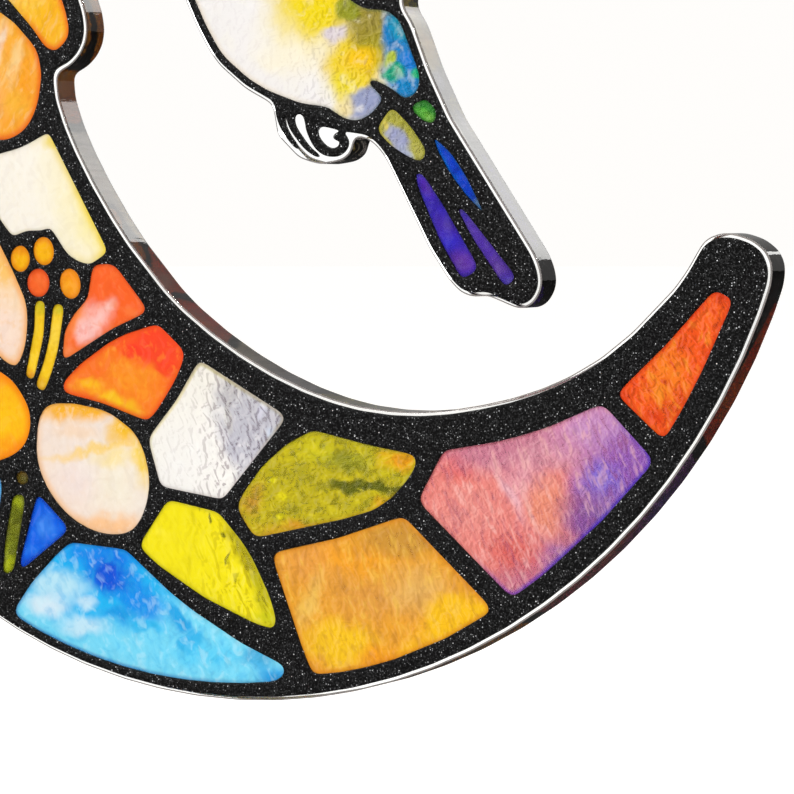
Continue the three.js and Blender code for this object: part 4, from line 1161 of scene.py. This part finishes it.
# base, second and third colour, rim colour, family
plainPanes = {
    "upper_petal_left": ((255, 190, 50), (255, 228, 170), (255, 170, 30), (244, 108, 26), "warm"),
    "upper_petal_crown": ((255, 150, 36), (255, 196, 90), (255, 120, 30), (232, 84, 22), "warm"),
    "upper_petal_top": ((255, 196, 44), (255, 234, 180), (255, 168, 34), (244, 112, 26), "warm"),
    "upper_bloom_eye": ((252, 222, 50), (255, 236, 120), (240, 190, 20), (220, 150, 20), "warm"),
    "upper_horn_tip_pane": ((252, 96, 24), (255, 146, 36), (228, 70, 18), (220, 60, 16), "warm"),
    "upper_rose_pane": ((226, 96, 120), (240, 160, 170), (176, 90, 160), (150, 40, 90), "warm"),
    "upper_gold_pane": ((244, 176, 36), (252, 208, 60), (226, 150, 50), (214, 124, 20), "warm"),
    "upper_leaf_pane": ((110, 150, 30), (150, 186, 40), (70, 116, 30), (44, 78, 20), "cool"),
    "limb_pane_1": ((110, 210, 250), (190, 236, 252), (0, 150, 236), (0, 80, 170), "cool"),
    "limb_pane_2": ((246, 226, 20), (252, 240, 110), (220, 200, 10), (190, 160, 10), "cool"),
    "limb_pane_3": ((10, 110, 232), (70, 170, 250), (0, 70, 200), (0, 40, 140), "cool"),
    "limb_pane_4": ((246, 244, 244), (255, 253, 248), (214, 214, 224), (200, 190, 150), "cool"),
    "limb_pane_5": ((190, 180, 30), (214, 204, 50), (130, 134, 28), (96, 96, 20), "cool"),
    "limb_pane_6": ((244, 172, 34), (252, 204, 70), (226, 140, 30), (200, 110, 20), "warm"),
    "limb_pane_7": ((104, 206, 248), (176, 232, 252), (10, 150, 232), (0, 84, 170), "cool"),
    "bird_throat": ((220, 50, 90), (240, 110, 130), (170, 30, 90), (110, 16, 50), "warm"),
    "bird_crown": ((46, 150, 70), (96, 190, 90), (10, 110, 90), (10, 70, 50), "cool"),
    "near_wing_feather_1": ((10, 90, 214), (50, 140, 240), (20, 60, 190), (10, 40, 130), "cool"),
    "near_wing_feather_2": ((60, 180, 240), (140, 220, 250), (10, 130, 220), (0, 80, 160), "cool"),
    "near_wing_feather_3": ((10, 150, 160), (70, 196, 190), (0, 110, 150), (0, 76, 90), "cool"),
    "near_wing_feather_4": ((50, 160, 76), (120, 200, 90), (10, 120, 90), (10, 80, 50), "cool"),
    "near_wing_feather_5": ((84, 52, 180), (130, 96, 206), (54, 40, 160), (40, 26, 110), "cool"),
    "near_wing_covert": ((0, 140, 180), (50, 180, 200), (0, 100, 190), (0, 70, 110), "cool"),
    "far_wing_feather_1": ((16, 92, 210), (60, 140, 236), (40, 60, 180), (10, 40, 130), "cool"),
    "far_wing_feather_2": ((70, 184, 240), (150, 222, 250), (20, 130, 220), (0, 84, 160), "cool"),
}
for name, colours in plainPanes.items():
    paneLooks[name] = plainLook(*colours)

paneSet = {
    "spacing": 0.3 * mm,
    "cornerTurn": 70,
    "passes": 6,
    "tuck": 0.10 * mm,
    "sink": 0.02 * mm,
    "grid": 0.30 * mm,
    "crown": 0.06 * mm,
    "transmission": 0.62,
    "roughness": 0.24,
    "ior": 1.46,
    "warp": 1.1 * mm,
    "crinkle": (1.6, 1.9, 20, 0.12, 0.14, -2.0, -1.0),
    "calmShare": 0.2,  # how much of the crinkle shows where it is calm
    "driftScale": 480.0,
    "areaReach": 1.25,
    "otherSides": 0.1,  # how much of a one-sided rim shows elsewhere
    "wrinkleStrength": 0.35,
    "wrinkleDepth": 0.08 * mm,
    "fade": 0.35 * mm,
    "backRim": 0.3,
}


def makePaneMaterial(name, look, low, high, s):
    material = bpy.data.materials.new(name + "Glass")
    material.use_nodes = True
    tree = material.node_tree
    shader = tree.nodes["Principled BSDF"]
    shader.inputs["Roughness"].default_value = s["roughness"]
    shader.inputs["IOR"].default_value = s["ior"]
    shader.inputs["Transmission Weight"].default_value = s["transmission"]
    where = addNode(tree, "ShaderNodeTexCoord")
    driftValues = {"Scale": s["driftScale"], "Detail": 2.0, "Roughness": 0.5}
    drift = addNode(tree, "ShaderNodeTexNoise", driftValues)
    tree.links.new(where.outputs["Object"], drift.inputs["Vector"])
    shift = vectorNode(tree, "SUBTRACT", drift.outputs["Color"], (0.5, 0.5, 0.5))
    shift = vectorNode(tree, "MULTIPLY", shift, (s["warp"] * 2,) * 3)
    moved = vectorNode(tree, "ADD", where.outputs["Object"], shift)
    moved = vectorNode(tree, "SUBTRACT", moved, tuple(low))
    place = vectorNode(tree, "MULTIPLY", moved, (1 / (high.x - low.x), 0.0, 1 / (high.z - low.z)))
    colour = None
    reach = s["areaReach"]
    for u, v, ru, rv, turn, soft, tone, amount in look["areas"]:
        area = placeGroup(
            tree,
            softArea,
            {
                "Over": linear(tone),
                "Centre": (u, 0.0, v),
                "Stretch": (1 / (ru * reach), 0.0, 1 / (rv * reach)),
                "Turn": math.radians(turn),
                "Soft": soft,
                "Amount": amount,
            },
        )
        tree.links.new(place, area.inputs["Place"])
        if colour is None:
            area.inputs["Under"].default_value = linear(look["base"])
        else:
            tree.links.new(colour, area.inputs["Under"])
        colour = area.outputs["Color"]
    dark, light, darkAmount, lightAmount, across, along, turn = look["mottle"]
    mottle = placeGroup(
        tree,
        glassMottle,
        {
            "Dark": linear(dark),
            "Light": linear(light),
            "Stretch": (1000 / across, 1000, 1000 / along),
            "Turn": math.radians(turn),
            "Dark Amount": darkAmount,
            "Light Amount": lightAmount,
        },
    )
    tree.links.new(colour, mottle.inputs["Color"])
    # the crinkle paints highlight and shade into the colour, as if lit from one side
    across, along, turn, pale, deep, calm, lively = look.get("crinkle", s["crinkle"])
    stretch = (1000 / across, 1000, 1000 / along)
    wrinkle = placeGroup(tree, crinkle, {"Stretch": stretch, "Turn": math.radians(turn)})
    parts = addNode(tree, "ShaderNodeSeparateXYZ")
    tree.links.new(place, parts.inputs[0])
    for socket, amount in (("Highlight", pale), ("Shade", deep)):
        least = amount * s["calmShare"]
        level = rangeNode(tree, parts.outputs["X"], calm, lively, least, amount)
        tree.links.new(level, wrinkle.inputs[socket])
    tree.links.new(mottle.outputs["Color"], wrinkle.inputs["Color"])
    colour = wrinkle.outputs["Color"]
    for tone, width, amount, side in look["rims"]:
        rim = placeGroup(
            tree,
            rimTone,
            {
                "Rim": linear(tone),
                "Side": (side[0], 0.0, side[1]) if side else (0.0, 0.0, 0.0),
                "Everywhere": s["otherSides"] if side else 1.0,
                "Width": width,
                "Amount": amount,
            },
        )
        tree.links.new(colour, rim.inputs["Color"])
        tree.links.new(place, rim.inputs["Place"])
        colour = rim.outputs["Color"]
    tree.links.new(colour, shader.inputs["Base Color"])
    bumpValues = {"Strength": s["wrinkleStrength"], "Distance": s["wrinkleDepth"]}
    bump = addNode(tree, "ShaderNodeBump", bumpValues)
    tree.links.new(wrinkle.outputs["Height"], bump.inputs["Height"])
    tree.links.new(bump.outputs["Normal"], shader.inputs["Normal"])
    return material


# layers of waves: how fast across and along, which layer of the noise, how strong
reliefLayers = {
    "smooth": ((1.0, 1.0, 0, 1.0),),
    "pebble": ((1.0, 1.0, 1, 0.7), (2.2, 2.2, 4, 0.4)),
    "brush": ((0.35, 1.3, 2, 0.8), (1.2, 2.6, 5, 0.45)),
}


def reliefAt(kind, size, turn, x, z, u, v):
    c, t = math.cos(math.radians(turn)), math.sin(math.radians(turn))
    a, b = (x * c + z * t) / size, (-x * t + z * c) / size
    if kind in reliefLayers:
        return sum(
            noise.noise(Vector((a * across, layer, b * along))) * strength
            for across, along, layer, strength in reliefLayers[kind]
        )
    # crackle: a slanting band of ridges, calm waves on one side and nearly flat on the other
    band = math.exp(-((u - 0.47 - 0.16 * (1 - v)) / 0.10) ** 2)
    calm = 0.30 / (1 + math.exp(-(u - 0.62 - 0.1 * (1 - v)) / 0.03))
    cells = noise.voronoi(Vector((a * 1.25, 3, b * 0.62)))[0]
    ridge = min(1.0, (cells[1] - cells[0]) * 1.6) - 0.5
    ripple = noise.noise(Vector((a * 1.6, 6, b * 0.8)))
    return ridge * 1.5 * band + ripple * (calm + 0.5 * band) + 0.04 * noise.noise(Vector((a, 8, b)))


def makePane(node, s):
    look = paneLooks[node]
    low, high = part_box(node)
    bm = frontOutline(node)
    smoothOutline(bm, s["spacing"], s["cornerTurn"], s["passes"])
    finder = EdgeFinder(bm)
    for ring in ringsOf(bm):
        shiftRing(ring, s["tuck"])
    fillFront(bm)
    gridCut(bm, s["grid"])
    edge = bm.verts.layers.float.new("edgeDistance")
    kind, height, size, turn = look["relief"]
    verts = bm.verts[:]
    border = {v for e in bm.edges if len(e.link_faces) == 1 for v in e.verts}
    for v, d in zip(verts, finder.distances(verts)):
        d = 0.0 if v in border else d
        v[edge] = d / mm
        x, z = v.co.x / mm, v.co.z / mm
        u = (v.co.x - low.x) / (high.x - low.x)
        w = (v.co.z - low.z) / (high.z - low.z)
        fade = 1 - math.exp(-d / s["fade"])
        rise = height * mm * reliefAt(kind, size, turn, x, z, u, w)
        v.co.y = low.y + s["crown"] * (1 - fade) - rise * fade
    for f in bm.faces:
        f.smooth = True
    closeBehind(bm, high.y + s["sink"])
    for v in bm.verts:
        if v.co.y > high.y:
            v[edge] = s["backRim"]
    material = makePaneMaterial(node, look, low, high, s)
    return makePiece(bm, node + "_glass", [material], [node])


makePlate(plateSet)
print("plate made")
makeLeading(leadingSet)
print("leading made")
for node in sorted(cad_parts):
    if node in ("clear_plate", "black_leading"):
        continue
    makePane(node, paneSet)
print("panes made:", len(paneLooks))


studioSet = {
    "floorLevel": cadLow.z - 0.08,
    "floorRadius": 8.0,
    "floorColour": (0.9, 0.89, 0.875, 1),
    "floorGlow": 0.38,
    "floorInMirrors": (0.03, 0.03, 0.03, 1),  # keeps the floor out of the clear edges
    "floorRoughness": 0.9,
    "backdrop": (1.0, 0.985, 0.965),
    "behind": 1.22,
    "inFront": 0.30,
    "turn": (0.55, 0.05),  # how far back a ray leans to see the backdrop in full, and not at all
    "fill": 0.74,
    "mirrorBehind": 0.35,
    "mirrorFront": 0.05,
    "lights": (  # name, place, side, power, colour
        ("key", (-0.75, -0.9, 0.75), 0.35, 9.0, (1.0, 0.98, 0.95)),
        ("side", (0.94, -0.57, 0.66), 0.05, 3.0, (0.96, 0.98, 1.0)),
        ("top", (0.36, -0.42, 1.05), 0.05, 2.5, (1.0, 0.93, 0.82)),
        ("rear", (0.4, 1.1, 0.6), 0.5, 3.0, (1.0, 0.99, 0.97)),
    ),
}


def makeFloor(s):
    bm = bmesh.new()
    bmesh.ops.create_circle(bm, cap_ends=True, segments=96, radius=s["floorRadius"])
    for v in bm.verts:
        v.co.z = s["floorLevel"]
    material = bpy.data.materials.new("paleFloor")
    material.use_nodes = True
    tree = material.node_tree
    shader = tree.nodes["Principled BSDF"]
    path = addNode(tree, "ShaderNodeLightPath")
    glossy, through = path.outputs["Is Glossy Ray"], path.outputs["Is Transmission Ray"]
    mirrored = mathNode(tree, "SUBTRACT", glossy, through, clamp=True)
    shade = mixNode(tree, mirrored, s["floorColour"], s["floorInMirrors"])
    tree.links.new(shade, shader.inputs["Base Color"])
    glow = mixNode(tree, mirrored, (*s["backdrop"], 1), s["floorInMirrors"])
    tree.links.new(glow, shader.inputs["Emission Color"])
    shader.inputs["Roughness"].default_value = s["floorRoughness"]
    shader.inputs["Specular IOR Level"].default_value = 0.0
    shader.inputs["Emission Strength"].default_value = s["floorGlow"]
    mesh = bpy.data.meshes.new("floor")
    bm.to_mesh(mesh)
    bm.free()
    mesh.materials.append(material)
    floor = bpy.data.objects.new("floor", mesh)
    bpy.context.scene.collection.objects.link(floor)


def makeWorld(s):  # plain to the camera, bright behind and dim in front for rays through the glass
    world = bpy.data.worlds.new("studio")
    bpy.context.scene.world = world
    world.use_nodes = True
    tree = world.node_tree
    background = tree.nodes["Background"]
    way = addNode(tree, "ShaderNodeTexCoord")
    parts = addNode(tree, "ShaderNodeSeparateXYZ")
    tree.links.new(way.outputs["Generated"], parts.inputs[0])
    front = rangeNode(tree, parts.outputs["Y"], *s["turn"])
    mirror = rangeNode(tree, front, 0.0, 1.0, s["mirrorBehind"], s["mirrorFront"], smooth=False)
    path = addNode(tree, "ShaderNodeLightPath")
    gloss = addNode(tree, "ShaderNodeMix", data_type="FLOAT", values={2: s["fill"]})
    tree.links.new(path.outputs["Is Glossy Ray"], gloss.inputs[0])
    tree.links.new(mirror, gloss.inputs[3])
    through = rangeNode(tree, front, 0.0, 1.0, s["behind"], s["inFront"], smooth=False)
    level = addNode(tree, "ShaderNodeMix", data_type="FLOAT")
    tree.links.new(path.outputs["Is Transmission Ray"], level.inputs[0])
    tree.links.new(gloss.outputs[0], level.inputs[2])
    tree.links.new(through, level.inputs[3])
    seen = addNode(tree, "ShaderNodeMix", data_type="FLOAT")
    tree.links.new(path.outputs["Is Camera Ray"], seen.inputs[0])
    tree.links.new(level.outputs[0], seen.inputs[2])
    seen.inputs[3].default_value = 1.0
    tree.links.new(seen.outputs[0], background.inputs["Strength"])
    background.inputs["Color"].default_value = (*s["backdrop"], 1)


def makeLight(name, place, side, power, colour, aim):
    data = bpy.data.lights.new(name, "AREA")
    data.shape = "RECTANGLE"
    data.size = data.size_y = side
    data.energy = power
    data.color = colour
    light = bpy.data.objects.new(name, data)
    light.location = place
    light.rotation_mode = "QUATERNION"
    light.rotation_quaternion = (Vector(aim) - Vector(place)).to_track_quat("-Z", "Y")
    bpy.context.scene.collection.objects.link(light)


makeFloor(studioSet)
makeWorld(studioSet)
for light in studioSet["lights"]:
    makeLight(*light, (cadLow + cadHigh) / 2)
bpy.context.scene.view_settings.view_transform = "Standard"
print("studio made")
